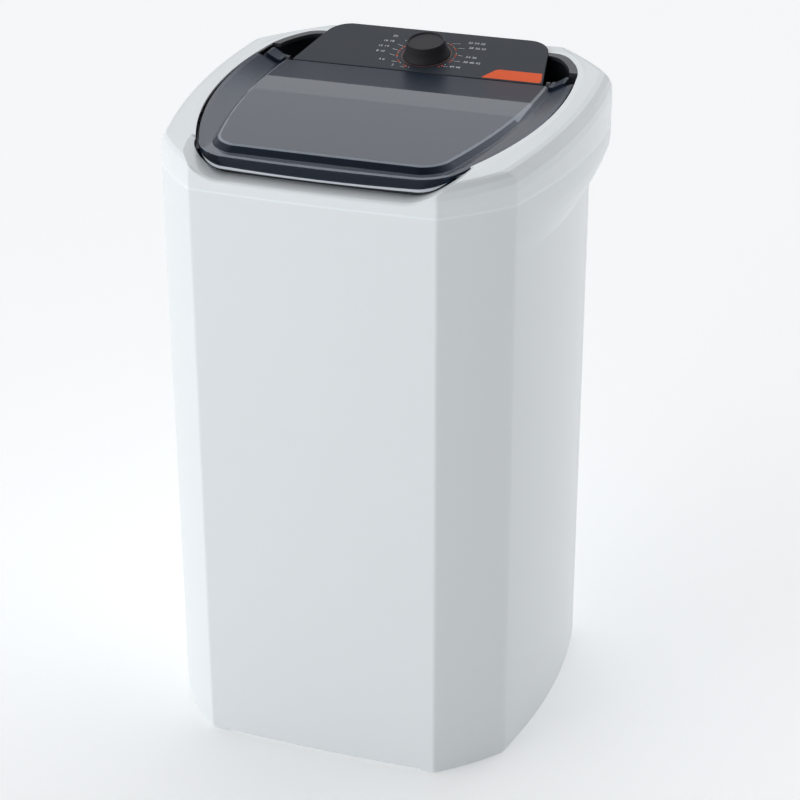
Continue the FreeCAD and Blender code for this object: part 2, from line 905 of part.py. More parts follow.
def lid_buffers():
    """Rubber stops on the frame's ledge, under the lid's edge."""
    mouth = mouth_plan()
    low, high = seam, 2 * seam
    strip = prism(mouth, low, high, lid_gap).cut(prism(mouth, low, high, lid_gap + 2 * buffer_radius))
    strip = strip.cut(above(lowered(rim_level, lid_edge_drop + fit_gap)))
    strip = strip.cut(under(lowered(rim_level, frame_ledge_drop)))
    stops = []
    for y in (-buffer_front, buffer_rear):
        stops.append(strip.common(block(-reach, reach, y - buffer_radius, y + buffer_radius, low, high)))
    return stops


def lid():
    plan, pane = lid_plan(), window_plan()
    top = 2 * seam

    def tray(drop):
        rim = lowered(lid_level, drop)
        return skin([outline(pane, lowered(tray_level, drop), -window_run),
                     outline(plan, rim, lid_land),
                     outline(plan, lowered(rim, -rim_rise), lid_land)])

    def window(drop):
        flat_top = lowered(window_level, drop)
        return skin([outline(pane, lowered(tray_level, drop + window_root), drop - window_run),
                     outline(pane, lowered(flat_top, window_edge), drop - window_edge),
                     outline(pane, flat_top, drop + window_edge)])

    ramp = (-ramp_start, seam + frame_front_drop + lid_front_clear, -ramp_end)
    shell = prism(plan, seam, top).cut(above(lid_level))
    shell = shell.cut(under(lowered(rim_level, lid_edge_drop), ramp))
    hollow = prism(plan, seam - lid_lip, top, lid_lip).cut(above(lowered(lid_level, lid_skin)))
    floor = tray(lid_skin).cut(tray(0.0)).cut(above(lid_level))
    shell = shell.cut([hollow, tray(0.0)]).fuse([floor, window(0.0)]).cut(window(lid_skin))
    shell = shell.cut(block(-reach, reach, lid_rear, reach, 0, top))
    corner = block(arm_outer + lug_gap, reach, lid_rear - 2 * barrel_radius, reach, 0, top)
    shell = shell.cut(both_sides(corner))
    arm = block(arm_inner, arm_outer, lid_rear - barrel_radius, hinge_y, hinge_z - hinge_pin_radius, top)
    axle = Vec(arm_inner, hinge_y, hinge_z)
    knuckle = Part.makeCylinder(barrel_radius, arm_outer - arm_inner, axle, X)
    heel = block(arm_inner, arm_outer, hinge_y, hinge_y + barrel_radius, hinge_z, top)
    arm = arm.fuse([knuckle, heel]).cut(above(rim_level)).cut(tray(-arm_rise))
    shell = shell.fuse(both_sides(arm))
    return shell.cut(hinge_bars(hinge_pin_radius + hinge_play, arm_inner, arm_outer))


def panel_half(y):
    """Half the panel's width at a given Y."""
    share = (y - panel_front) / (panel_rear - panel_front)
    return panel_front_half + share * (panel_rear_half - panel_front_half)


def accent_strip():
    """The coloured inlay in the panel's right front corner."""
    front, rear = panel_front + accent_front, panel_front + accent_rear
    corners = [(accent_tip, front), (panel_half(front) - accent_margin, front),
               (panel_half(rear) - accent_margin, rear), (accent_shoulder, rear)]
    wire = rounded_loop(corners, [0.0] * len(corners), accent_rounds, flat(seam))
    tall = Part.Face(wire).extrude(Z * seam)
    low = lowered(panel_level, accent_depth)
    return tall.cut(above(lowered(panel_level, -accent_proud))).cut(under(low))


def console_screw_spots():
    rows = (console_screw_front, console_screw_rear)
    return [(side * console_screw_x, y) for side in (-1, 1) for y in rows]


def control_panel():
    plan = panel_plan()
    top = 2 * seam
    underside = lowered(panel_level, panel_thick)
    plate = prism(plan, seam, top).cut(above(panel_level)).cut(under(underside))
    plate = soften(plate, panel_edge_round, lambda edge: on_plane(edge, panel_level))
    hood = prism(plan, frame_floor, top, panel_margin)
    hood = hood.cut(block(-reach, reach, panel_box_rear, reach, 0, top))
    hollow = prism(plan, frame_floor, top, panel_margin + panel_wall)
    hollow = hollow.cut(block(-reach, reach, panel_box_rear - panel_wall, reach, 0, top))
    posts = [rod(boss_radius, frame_floor, top, x, y) for x, y in console_screw_spots()]
    box = hood.cut(hollow).fuse(posts).cut(above(lowered(panel_level, panel_thick / 2)))
    panel = plate.fuse(box).cut(accent_strip())
    panel = panel.cut(onto_panel(rod(timer_neck + timer_neck_gap, -panel_thick, panel_thick), knob_y))
    high = frame_floor + console_screw_length
    return panel.cut([rod(screw_radius, frame_floor, high, x, y) for x, y in console_screw_spots()])


def on_plane(edge, level):
    """True where both ends of an edge lie on a plane."""
    return all(abs(v.Z - level(v.Y)) < touch for v in edge.Vertexes)


def console_screws():
    screws = []
    deck_bottom = frame_floor - frame_wall
    for x, y in console_screw_spots():
        head = rod(screw_head, deck_bottom - screw_head_thick, deck_bottom, x, y)
        screws.append(head.fuse(rod(screw_radius, deck_bottom, frame_floor + console_screw_length, x, y)))
    return screws


timer_top = -panel_thick * math.cos(math.radians(panel_angle))
timer_bottom = timer_top - timer_depth
shaft_foot = timer_bottom + timer_depth / 3
knob_inside = knob_height - knob_dish - panel_wall


def timer_body():
    half = timer_size / 2
    box = block(-half, half, -half, half, timer_bottom, timer_top)
    box = soften(box, panel_edge_round * 2, lambda edge: edge.BoundBox.ZLength > timer_depth / 2)
    body = box.fuse(rod(timer_neck, timer_top, timer_neck_reach))
    body = body.cut(rod(timer_shaft_radius + timer_play, shaft_foot - timer_play, timer_neck_reach))
    return onto_panel(body, knob_y)


def timer_nut():
    nut = hexagon(timer_nut_radius, 0, timer_nut_thick).cut(rod(timer_neck, 0, timer_nut_thick))
    return onto_panel(nut, knob_y)


def timer_shaft():
    return onto_panel(rod(timer_shaft_radius, shaft_foot, knob_inside), knob_y)


def timer_knob():
    """A tapered cap with a raised ring round a dished top, hollow below."""
    ring = knob_top_radius - knob_ring
    dish = knob_height - knob_dish
    cap = turned([(0, knob_gap), (knob_radius, knob_gap), (knob_top_radius, knob_height),
                  (ring, knob_height), (ring - knob_ring / 2, dish), (0, dish)])
    cap = soften(cap, knob_ring / 3, lambda edge: edge.BoundBox.ZMin > knob_height - fit_gap)
    hollow = turned([(0, knob_gap), (knob_radius - panel_wall, knob_gap),
                     (knob_top_radius - panel_wall, knob_inside), (0, knob_inside)])
    stem = rod(stem_radius, timer_neck_reach + stem_gap, knob_inside)
    knob = cap.cut(hollow).fuse(stem)
    return onto_panel(knob.cut(rod(timer_shaft_radius, 0, knob_inside)), knob_y)


def tub_radius_at(height):
    share = (height - tub_inside) / (flange_top - tub_inside)
    return tub_foot_radius + share * (tub_radius - tub_foot_radius)


filter_back = tub_radius_at(filter_bottom) - filter_wall_gap
filter_front = filter_back - filter_thick
rail_front = filter_front - rail_gap - rail_lip


def filter_rails():
    """Two channels and a sill on the tub wall that hold the lint filter."""
    high = filter_bottom + filter_height - filter_lift
    low = filter_bottom - rail_gap - rail_thick
    edge = filter_half + rail_gap
    cheek = block(-tub_radius, -rail_front, edge, edge + rail_thick, low, high)
    lip = block(-rail_front - rail_lip, -rail_front, edge - rail_lip, edge + rail_thick, low, high)
    sill = block(-tub_radius, -rail_front, -edge - rail_thick, edge + rail_thick, low, low + rail_thick)
    channel = cheek.fuse(lip)
    return channel.fuse([channel.mirror(Vec(0, 0, 0), Y), sill])


def tub():
    outer = Part.makeCone(tub_foot_radius + tub_wall, tub_radius + tub_wall, flange_top - tub_bottom,
                          Vec(0, 0, tub_bottom))
    outer = soften(outer, tub_round + tub_wall, lambda edge: edge.BoundBox.ZMax < tub_bottom + fit_gap)
    inner = Part.makeCone(tub_foot_radius, tub_radius, flange_top - tub_inside, Vec(0, 0, tub_inside))
    inner = soften(inner, tub_round, lambda edge: edge.BoundBox.ZMax < tub_inside + fit_gap)
    flange = prism(body_plan(0.0), shelf_top, flange_top, cabinet_wall + fit_gap)
    rib = block(tub_rib_inner, tub_rib_outer, -tub_rib_thick / 2, tub_rib_thick / 2,
                tub_bottom - tub_rib_height, tub_bottom + tub_floor / 2)
    ribs = around(rib, tub_rib_count, 180.0 / tub_rib_count)
    rails = filter_rails().common(outer)
    vessel = outer.fuse([flange] + ribs).cut(inner).fuse(rails)
    vessel = vessel.cut(rod(housing_neck, 0, seam))
    vessel = vessel.cut(rod(drain_radius - drain_wall, 0, tub_inside + tub_floor, drain_x, drain_y))
    vessel = vessel.cut(rod(loom_hole, shelf_top, flange_top, loom_x, loom_y))
    vessel = vessel.cut(housing_bolt_holes(tub_bottom, tub_bottom + tub_floor / 2))
    sunk = tub_bottom + tub_floor / 2
    return vessel.cut([rod(bolt_radius, tub_bottom, sunk, x, y) for x, y in post_spots()])


def lint_filter_frame():
    window = filter_half - filter_frame
    low, high = filter_bottom + filter_frame, filter_bottom + filter_height - filter_frame
    top = filter_bottom + filter_height
    frame = block(-filter_back, -filter_front, -filter_half, filter_half, filter_bottom, top)
    frame = frame.cut(block(-filter_back, -filter_front, -window, window, low, high))
    pitch = (high - low) / (filter_slots + 1)
    middle = (filter_back + filter_front) / 2
    bars = [block(-middle, -filter_front, -window, window, low + i * pitch - filter_bar / 2,
                  low + i * pitch + filter_bar / 2) for i in range(1, filter_slots + 1)]
    return frame.fuse(bars)


def lint_filter_mesh():
    window = filter_half - filter_frame
    low, high = filter_bottom + filter_frame, filter_bottom + filter_height - filter_frame
    back = filter_back - filter_mesh
    return block(-back, -back + filter_mesh, -window, window, low, high)


def housing_bolt_holes(low, high):
    return around(rod(bolt_radius, low, high, housing_bolt_circle), housing_bolts)


def bearing_housing():
    flange_bottom = tub_bottom - housing_flange
    seat = neck_top - seal_depth
    upper = seat - bush_length
    lower = housing_bottom + bush_length
    waist = shaft_radius + pulley_gap / 2
    outside = [(bush_radius, housing_bottom), (housing_hub, housing_bottom),
               (housing_hub, flange_bottom), (housing_radius, flange_bottom),
               (housing_radius, tub_bottom), (housing_neck, tub_bottom), (housing_neck, neck_top)]
    inside = [(seal_radius, neck_top), (seal_radius, seat), (bush_radius, seat), (bush_radius, upper),
              (waist, upper), (waist, lower), (bush_radius, lower)]
    body = turned(outside + inside)
    root = housing_hub - housing_web_sink
    corners = [(root, flange_bottom), (housing_radius, flange_bottom), (root, lower), (root, flange_bottom)]
    web = Part.makePolygon([Vec(x, -tub_rib_thick / 2, z) for x, z in corners])
    web = Part.Face(web).extrude(Y * tub_rib_thick)
    body = body.fuse(around(web, housing_bolts, 180.0 / housing_bolts))
    return body.cut(housing_bolt_holes(flange_bottom, tub_bottom))


def housing_bolt_set():
    flange_bottom = tub_bottom - housing_flange
    head = hexagon(bolt_head, flange_bottom - bolt_head_thick, flange_bottom, housing_bolt_circle)
    bolt = head.fuse(rod(bolt_radius, flange_bottom, tub_bottom + tub_floor / 2, housing_bolt_circle))
    return around(bolt, housing_bolts)


def upper_bush():
    seat = neck_top - seal_depth
    return tube(bush_radius, shaft_radius + shaft_play, seat - bush_length, seat)


def lower_bush():
    return tube(bush_radius, shaft_radius + shaft_play, housing_bottom, housing_bottom + bush_length)


def shaft_seal():
    return tube(seal_radius, shaft_radius + shaft_play, neck_top - seal_depth, neck_top)


shaft_top = pulsator_bottom + hub_depth
seat_level = shaft_top + screw_seat
pulsator_top = pulsator_bottom + pulsator_height


def drive_shaft():
    stub = rod(stub_radius, pulley_bottom - nut_thick - stub_proud, pulley_bottom)
    shaft = rod(shaft_radius, pulley_bottom, shaft_top).fuse(stub)
    return shaft.cut(rod(screw_shank, shaft_top - hub_depth / 2, shaft_top))


def vane():
    """One swept blade: four tapering sections that turn as they run outward."""
    sections = []
    steps = 3
    for i in range(steps + 1):
        share = i / steps
        radius = vane_inner + share * (vane_outer - vane_inner)
        width = (vane_root + share * (vane_tip - vane_root)) / 2
        top = pulsator_bottom + pulsator_rim + vane_height - share * vane_drop
        low = pulsator_bottom + pulsator_rim / 2
        corners = [(-width, low), (width, low), (width / 3, top), (-width / 3, top), (-width, low)]
        wire = Part.makePolygon([Vec(radius, y, z) for y, z in corners])
        wire.rotate(Vec(0, 0, 0), Z, vane_sweep * share * share)
        sections.append(wire)
    return Part.makeLoft(sections, True, False)


def pulsator():
    low = pulsator_bottom
    dish = turned([(0, low), (pulsator_radius, low), (pulsator_radius, low + pulsator_rim),
                   (pulsator_hub * 2, low + pulsator_crown), (pulsator_hub, low + pulsator_crown * 2),
                   (cap_radius + cap_thick, pulsator_top), (0, pulsator_top)])
    body = dish.fuse(around(vane(), vane_count))
    rim_width = 2 * pulsator_radius
    body = soften(body, pulsator_rim / 3, lambda edge: abs(edge.BoundBox.XLength - rim_width) < fit_gap)
    body = body.cut(rod(shaft_radius, low, shaft_top)).cut(rod(screw_shank, low, pulsator_top))
    return body.cut(rod(cap_radius, seat_level, pulsator_top))


def pulsator_screw():
    head = hexagon(pulsator_head, seat_level, seat_level + pulsator_head_thick)
    return head.fuse(rod(screw_shank, shaft_top - hub_depth / 2, seat_level))


def pulsator_cap():
    low = seat_level + pulsator_head_thick
    cap = rod(cap_radius, low, pulsator_top + cap_thick / 2)
    return soften(cap, cap_thick / 3, lambda edge: edge.BoundBox.ZMin > pulsator_top)


def pulley(pitch, bore, hub=None):
    """A grooved wheel about the Z axis at the belt's height, with a web if it has a hub."""
    half = pulley_width / 2
    lean = (belt_top - belt_bottom) / 2 / belt_thick
    outer = pitch + belt_thick / 2 + pulley_lip / 4
    floor = pitch - belt_thick / 2 - groove_floor
    middle = (belt_top + belt_bottom) / 4 + groove_gap
    wide = middle + lean * (outer - pitch)
    narrow = middle + lean * (floor - pitch)
    rim = [(outer, -half), (outer, -wide), (floor, -narrow), (floor, narrow), (outer, wide), (outer, half)]
    if hub:
        inner = floor - pulley_rim
        web = pulley_web / 2
        left = [(bore, -half), (hub, -half), (hub, -web), (inner, -web), (inner, -half)]
        right = [(r, -z) for r, z in reversed(left)]
        profile = left + rim + right
    else:
        profile = [(bore, -half)] + rim + [(bore, half)]
    return turned([(r, belt_level + z) for r, z in profile])


def drive_pulley():
    wheel = pulley(drive_radius, shaft_radius, pulley_hub)
    middle = (pulley_hub + drive_radius - pulley_rim) / 2
    hole = rod(pulley_hole, pulley_bottom, pulley_top, middle)
    return wheel.cut(around(hole, pulley_holes))


def pulley_nut():
    low = pulley_bottom - nut_thick
    return hexagon(nut_radius, low, pulley_bottom).cut(rod(stub_radius, low, pulley_bottom))


def at_motor(shape):
    shape.translate(Vec(0, motor_y, 0))
    return shape


def drive_belt():
    """A closed V-belt round both pulleys, with straight runs between them."""
    lean = math.asin((drive_radius - motor_drive_radius) / motor_y)
    out = Vec(math.cos(lean), math.sin(lean), 0)
    level = Vec(0, 0, belt_level)
    axle = Vec(0, motor_y, belt_level)
    big = level + out * drive_radius
    small = axle + out * motor_drive_radius
    mirror = lambda p: Vec(-p.x, p.y, p.z)
    path = Part.Wire([Part.makeLine(big, small),
                      Part.Arc(small, axle + Y * motor_drive_radius, mirror(small)).toShape(),
                      Part.makeLine(mirror(small), mirror(big)),
                      Part.Arc(mirror(big), level - Y * drive_radius, big).toShape()])
    thick, wide, narrow = out * (belt_thick / 2), Z * (belt_top / 2), Z * (belt_bottom / 2)
    top, bottom = big + thick, big - thick
    section = Part.makePolygon([top + wide, top - wide, bottom - narrow, bottom + narrow, top + wide])
    return path.makePipeShell([section], True, False)


stack_top = bell_top - motor_bell
stack_bottom = stack_top - motor_stack
motor_bottom = stack_bottom - motor_bell
shaft_floor = motor_bottom + pulley_gap / 2


def ear_spots():
    step = ear_circle / math.sqrt(2)
    return [(sx * step, motor_y + sy * step) for sx in (-1, 1) for sy in (-1, 1)]


def motor_stator():
    return at_motor(tube(motor_radius, rotor_radius + rotor_gap, stack_bottom, stack_top))


def motor_top_bell():
    bore = motor_shaft_radius + shaft_play
    shoulder = bell_top - motor_bell_step
    boss_top = bracket_top + bracket_gap / 2
    bell = turned([(bore, stack_top), (motor_radius, stack_top), (motor_radius, shoulder),
                   (motor_radius - motor_bell_step, shoulder), (motor_radius - motor_bell_step, bell_top),
                   (motor_boss, bell_top), (motor_boss, boss_top), (bore, boss_top)])
    inner, low = motor_radius - 2 * motor_bell_step, bell_top - ear_thick
    arm = block(inner, ear_circle, -ear_radius, ear_radius, low, bell_top)
    ear = arm.fuse(rod(ear_radius, low, bell_top, ear_circle))
    bell = at_motor(bell.fuse(around(ear, 4, 45.0)))
    return bell.cut([rod(bolt_radius, low, bell_top, x, y) for x, y in ear_spots()])


def motor_bottom_bell():
    bore = motor_shaft_radius + shaft_play
    shoulder = motor_bottom + motor_bell_step
    floor = shaft_floor - shaft_play
    return at_motor(turned([(0, motor_bottom), (motor_radius - 2 * motor_bell_step, motor_bottom),
                            (motor_radius, shoulder), (motor_radius, stack_bottom), (bore, stack_bottom),
                            (bore, floor), (0, floor)]))


def motor_shaft():
    return at_motor(rod(motor_shaft_radius, shaft_floor, pulley_top))


def motor_rotor():
    play = rotor_gap * 2
    return at_motor(tube(rotor_radius, motor_shaft_radius, stack_bottom + play, stack_top - play))


def motor_pulley():
    return at_motor(pulley(motor_drive_radius, motor_shaft_radius))


def motor_grommets():
    return [tube(grommet_radius, bolt_radius, bell_top, bracket_bottom, x, y) for x, y in ear_spots()]


def motor_bolts():
    bolts = []
    for x, y in ear_spots():
        head = hexagon(bolt_head, bracket_top, bracket_top + bolt_head_thick, x, y)
        bolts.append(head.fuse(rod(bolt_radius, bell_top - ear_thick, bracket_top, x, y)))
    return bolts


def post_spots():
    right = ((post_front_x, post_front_y), (post_rear_x, post_rear_y))
    return [(side * x, y) for side in (-1, 1) for x, y in right]


def motor_bracket():
    """A pressed plate with its front and rear edges folded down."""
    plate = block(-bracket_half, bracket_half, bracket_front, bracket_rear, bracket_bottom, bracket_top)
    fold = bracket_bottom - bracket_bend
    for y in (bracket_front, bracket_rear - bracket_thick):
        edge = block(-bracket_half, bracket_half, y, y + bracket_thick, fold, bracket_bottom)
        plate = plate.fuse(edge)
    plate = plate.removeSplitter()
    plate = soften(plate, bracket_bend / 2, lambda edge: edge.BoundBox.ZLength > bracket_bend)
    plate = plate.cut(rod(motor_boss + bolt_gap, bracket_bottom, bracket_top, 0, motor_y))
    spots = ear_spots() + post_spots()
    return plate.cut([rod(bolt_radius, bracket_bottom, bracket_top, x, y) for x, y in spots])


def bracket_posts():
    return [tube(post_radius, bolt_radius, bracket_top, tub_bottom, x, y) for x, y in post_spots()]


def bracket_bolts():
    bolts = []
    for x, y in post_spots():
        head = hexagon(bolt_head, bracket_bottom - bolt_head_thick, bracket_bottom, x, y)
        bolts.append(head.fuse(rod(bolt_radius, bracket_bottom, tub_bottom + tub_floor / 2, x, y)))
    return bolts


def capacitor():
    top = bracket_bottom - bolt_head_thick
    can = rod(capacitor_radius, top - capacitor_length, top, capacitor_x, capacitor_y)
    return soften(can, clip_thick, lambda edge: edge.BoundBox.ZLength < fit_gap)


def capacitor_clip():
    middle = bracket_bottom - bolt_head_thick - capacitor_length / 2
    low, high = middle - clip_height / 2, middle + clip_height / 2
    band = tube(capacitor_radius + clip_thick, capacitor_radius, low, high, capacitor_x, capacitor_y)
    back = capacitor_y + capacitor_radius
    half = clip_height / 2
    tab = block(capacitor_x - half, capacitor_x + half, back, back + clip_thick, low, bracket_bottom)
    return band.fuse(tab)


outlet_face = rear_face(drain_height) - cabinet_wall - wall_gap
elbow_end = outlet_face - outlet_flange_thick


def drain_elbow():
    points = [Vec(drain_x, drain_y, tub_bottom), Vec(drain_x, drain_y, drain_height),
              Vec(drain_x, elbow_end, drain_height)]
    body = pipe(points, drain_radius, drain_bend)
    flange = rod(drain_flange, tub_bottom - drain_flange_thick, tub_bottom, drain_x, drain_y)
    return body.fuse(flange).cut(pipe(points, drain_radius - drain_wall, drain_bend))


def drain_outlet():
    """A spigot through the rear wall, with a shoulder that a hose comes up to."""
    def along(radius, start, end):
        return Part.makeCylinder(radius, end - start, Vec(drain_x, start, drain_height), Y)

    wall = rear_face(drain_height) + wall_gap
    tip = wall + outlet_reach
    inner = drain_radius - drain_wall - wall_gap / 2
    body = along(inner, elbow_end - outlet_socket, elbow_end)
    flange = along(outlet_flange, elbow_end, outlet_face)
    body = body.fuse([flange, along(outlet_neck, outlet_face, wall), along(outlet_radius, wall, tip)])
    return body.cut(along(inner - outlet_wall, elbow_end - outlet_socket, tip))


def cord_gland():
    def along(radius, start, end):
        return Part.makeCylinder(radius, end - start, Vec(gland_x, start, gland_height), Y)

    face = rear_face(gland_height) + wall_gap
    inside = face - cabinet_wall - 2 * gland_flange_thick
    body = along(gland_neck, inside, face).fuse(along(gland_flange, face, face + gland_flange_thick))
    body = body.cut(along(gland_bore, inside, face + gland_flange_thick))
    outside = face + gland_flange_thick
    return soften(body, panel_edge_round, lambda edge: edge.BoundBox.YMin > outside - fit_gap)


def wiring_loom():
    """The cable run from the timer, down the rear wall, to the motor."""
    below = panel_level(loom_start_y - loom_radius)
    start = below + timer_bottom / math.cos(math.radians(panel_angle)) - wall_gap
    turn = frame_floor + loom_run
    cross = flange_top + loom_cross
    end = motor_y + math.sqrt(motor_radius ** 2 - (loom_x - loom_radius) ** 2) + wall_gap
    route = [(loom_start_y, start), (loom_start_y, turn), (loom_deck_y, turn), (loom_deck_y, cross),
             (loom_y, cross), (loom_y, loom_end), (end, loom_end)]
    return pipe([Vec(loom_x, y, z) for y, z in route], loom_radius, loom_bend)


def loom_clip_set():
    clips = []
    for i in range(loom_clips):
        height = loom_clip_first + i * loom_clip_pitch
        low, high = height - loom_clip_half, height + loom_clip_half
        wall = rear_face(low) - cabinet_wall - wall_gap
        clip = block(loom_x - loom_clip_half, loom_x + loom_clip_half, loom_y, wall, low, high)
        clips.append(clip.cut(rod(loom_radius, low, high, loom_x, loom_y)))
    return clips


nodes = {
    "cabinet": cabinet,
    "foot_pads": foot_pads,
    "top_cover": top_cover,
    "cover_screws": cover_screw_shapes,
    "inner_frame": inner_frame,
    "lid": lid,
    "lid_hinge_pins": hinge_pins,
    "lid_buffers": lid_buffers,
    "control_panel": control_panel,
    "console_screws": console_screws,
    "accent_strip": accent_strip,
    "timer_body": timer_body,
    "timer_nut": timer_nut,
    "timer_shaft": timer_shaft,
    "timer_knob": timer_knob,
    "tub": tub,
    "lint_filter_frame": lint_filter_frame,
    "lint_filter_mesh": lint_filter_mesh,
    "pulsator": pulsator,
    "pulsator_screw": pulsator_screw,
    "pulsator_cap": pulsator_cap,
    "drive_shaft": drive_shaft,
    "bearing_housing": bearing_housing,
    "bearing_housing_bolts": housing_bolt_set,
    "upper_bush": upper_bush,
    "lower_bush": lower_bush,
    "shaft_seal": shaft_seal,
    "drive_pulley": drive_pulley,
    "pulley_nut": pulley_nut,
    "drive_belt": drive_belt,
    "motor_stator": motor_stator,
    "motor_top_bell": motor_top_bell,
    "motor_bottom_bell": motor_bottom_bell,
    "motor_shaft": motor_shaft,
    "motor_rotor": motor_rotor,
    "motor_pulley": motor_pulley,
    "motor_grommets": motor_grommets,
    "motor_bolts": motor_bolts,
    "motor_bracket": motor_bracket,
    "bracket_posts": bracket_posts,
    "bracket_bolts": bracket_bolts,
    "capacitor": capacitor,
    "capacitor_clip": capacitor_clip,
    "drain_elbow": drain_elbow,
    "drain_outlet": drain_outlet,
    "cord_gland": cord_gland,
    "wiring_loom": wiring_loom,
    "loom_clips": loom_clip_set,
}

os.makedirs("parts", exist_ok=True)
for node_name, make in nodes.items():
    save(node_name, make())
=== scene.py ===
# %% [markdown]
# A top-loading washing machine, dressed for its portrait.
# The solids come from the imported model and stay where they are. This file gives them their
# finishes, prints the dial round the knob, turns the knob's skirt and sets up the studio.

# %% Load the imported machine
import json
import math

import bpy
from mathutils import Matrix, Vector


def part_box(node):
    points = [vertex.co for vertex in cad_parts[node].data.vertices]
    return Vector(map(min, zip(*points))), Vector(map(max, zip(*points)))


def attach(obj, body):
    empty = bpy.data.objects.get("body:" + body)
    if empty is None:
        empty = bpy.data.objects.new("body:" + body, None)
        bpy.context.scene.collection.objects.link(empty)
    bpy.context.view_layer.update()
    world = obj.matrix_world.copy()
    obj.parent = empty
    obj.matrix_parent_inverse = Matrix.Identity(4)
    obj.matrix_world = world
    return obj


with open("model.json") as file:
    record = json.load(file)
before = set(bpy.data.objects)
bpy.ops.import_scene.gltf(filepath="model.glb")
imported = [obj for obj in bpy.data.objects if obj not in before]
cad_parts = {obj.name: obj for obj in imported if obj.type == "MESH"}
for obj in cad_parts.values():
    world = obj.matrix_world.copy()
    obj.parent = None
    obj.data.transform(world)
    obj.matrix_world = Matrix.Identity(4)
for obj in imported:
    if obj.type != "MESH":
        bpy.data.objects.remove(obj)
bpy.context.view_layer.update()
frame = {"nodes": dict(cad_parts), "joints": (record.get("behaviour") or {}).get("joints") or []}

METRE = 1000.0  # in millimetres
scene = bpy.context.scene
nodes = frame["nodes"]

# %% [markdown]
# The camera stands to the right of the machine and looks down on it with a long lens, which
# keeps the upright edges nearly parallel. It could be aimed with a constraint. Three axes
# written as a matrix keep it steady and are easy to read back.
# The plain view transform shows a colour as it was picked, so the whites stay white.

# %% Camera
lens_mm, sensor_mm, roll_degrees = 98.25, 36.0, -0.126
camera_place = (1.08413, -2.90190, 1.93623)
camera_right = Vector((0.93937541, 0.34289041, 0.0))
camera_up = Vector((-0.14648122, 0.40129691, 0.9041593))
camera_back = Vector((0.31002755, -0.84934502, 0.42719546))
camera_data = bpy.data.cameras.new("portrait_lens")
camera_data.lens = lens_mm
camera_data.sensor_width = sensor_mm
camera = bpy.data.objects.new("portrait_camera", camera_data)
scene.collection.objects.link(camera)
scene.camera = camera
axes = Matrix((camera_right, camera_up, camera_back)).transposed().to_4x4()
roll = Matrix.Rotation(math.radians(roll_degrees), 4, "Z")
camera.matrix_world = Matrix.Translation(camera_place) @ axes @ roll
scene.view_settings.view_transform = "Standard"
print("camera at", [round(v, 3) for v in camera.location])

# %% [markdown]
# Colours are picked as sRGB hex values, as they look on a screen. The renderer works with
# linear light. The colour picker turns one into the other by itself, but a value that a
# script sets isn't turned, so one function does it here.

# %% Colour
def linear(hex_colour):
    """An sRGB hex colour as linear red, green, blue and alpha."""
    parts = [int(hex_colour[i:i + 2], 16) / 255 for i in (1, 3, 5)]
    return [p / 12.92 if p <= 0.04045 else ((p + 0.055) / 1.055) ** 2.4 for p in parts] + [1.0]


print("mid grey is", round(linear("#808080")[0], 3))

# %% [markdown]
# A finish is a small network of nodes. It could be drawn by hand in the shader editor, but
# written out it can be read, changed and repeated. One helper adds a node, sets its
# properties, and fills or links its inputs. Another starts an empty material.

# %% Node helpers
def add(tree, kind, inputs=None, **settings):
    """Add one node; an input is a value, a socket, or a node whose first socket is linked."""
    made = tree.nodes.new(kind)
    for name, value in settings.items():
        setattr(made, name, value)
    for name, value in (inputs or {}).items():
        if isinstance(value, bpy.types.Node):
            value = value.outputs[0]
        if isinstance(value, bpy.types.NodeSocket):
            tree.links.new(value, made.inputs[name])
        else:
            made.inputs[name].default_value = value
    return made


def new_finish(name):
    """An empty material, and its node tree."""
    material = bpy.data.materials.new(name)
    material.use_nodes = True
    material.node_tree.nodes.clear()
    return material, material.node_tree


print("helpers ready")

# %% [markdown]
# The studio is a tent with four large soft boxes behind its cloth. Lamps would leave hard
# spots in the glossy lid, so each box is a broad glow in the tent itself, that fades with a
# power of the cosine from its middle. The strongest lights the front from the left, a low one
# stands at the rear right, and the two high ones behind give the lid its sheen. The right
# front has none, which shades the slanted right corner. Past the floor's edge the tent shows
# as a plain pale backdrop, so that no glow is seen behind the machine.

# %% Studio tent
soft_boxes = [((-0.71, -0.71, 0.05), 2.82), ((0.71, 0.71, 0.05), 0.61),
              ((-0.35, 0.61, 0.7), 1.29), ((0.35, 0.61, 0.7), 0.83)]
fade = 4.0
world = bpy.data.worlds.new("studio_tent")
world.use_nodes = True
scene.world = world
tent = world.node_tree
tent.nodes.clear()
heading = add(tent, "ShaderNodeTexCoord").outputs["Generated"]
glow = 0.0
for direction, strength in soft_boxes:
    middle = Vector(direction).normalized()
    towards = add(tent, "ShaderNodeVectorMath", {0: heading, 1: middle}, operation="DOT_PRODUCT")
    ahead = add(tent, "ShaderNodeMath", {0: towards.outputs["Value"], 1: 0.0}, operation="MAXIMUM")
    lobe = add(tent, "ShaderNodeMath", {0: ahead, 1: fade}, operation="POWER")
    glow = add(tent, "ShaderNodeMath", {0: lobe, 1: strength, 2: glow}, operation="MULTIPLY_ADD")
cloth = add(tent, "ShaderNodeBackground", {"Color": linear("#fbfdff"), "Strength": glow})
backdrop = add(tent, "ShaderNodeBackground", {"Color": linear("#f4f7f8")})
straight = add(tent, "ShaderNodeLightPath").outputs["Is Camera Ray"]
seen = add(tent, "ShaderNodeMixShader", {0: straight, 1: cloth, 2: backdrop})
add(tent, "ShaderNodeOutputWorld", {"Surface": seen})
print("soft boxes:", len(soft_boxes))

# %% [markdown]
# The floor is matt backdrop paper that runs to the horizon, half a millimetre under the
# rubber pads so that two faces never share a place. A plane from the menu would do, but four
# corners say the same in one line, and the helper that makes them an object serves again
# for the dial. The paper glows a little of its own, so that it stays nearly white and still
# takes a soft shadow.

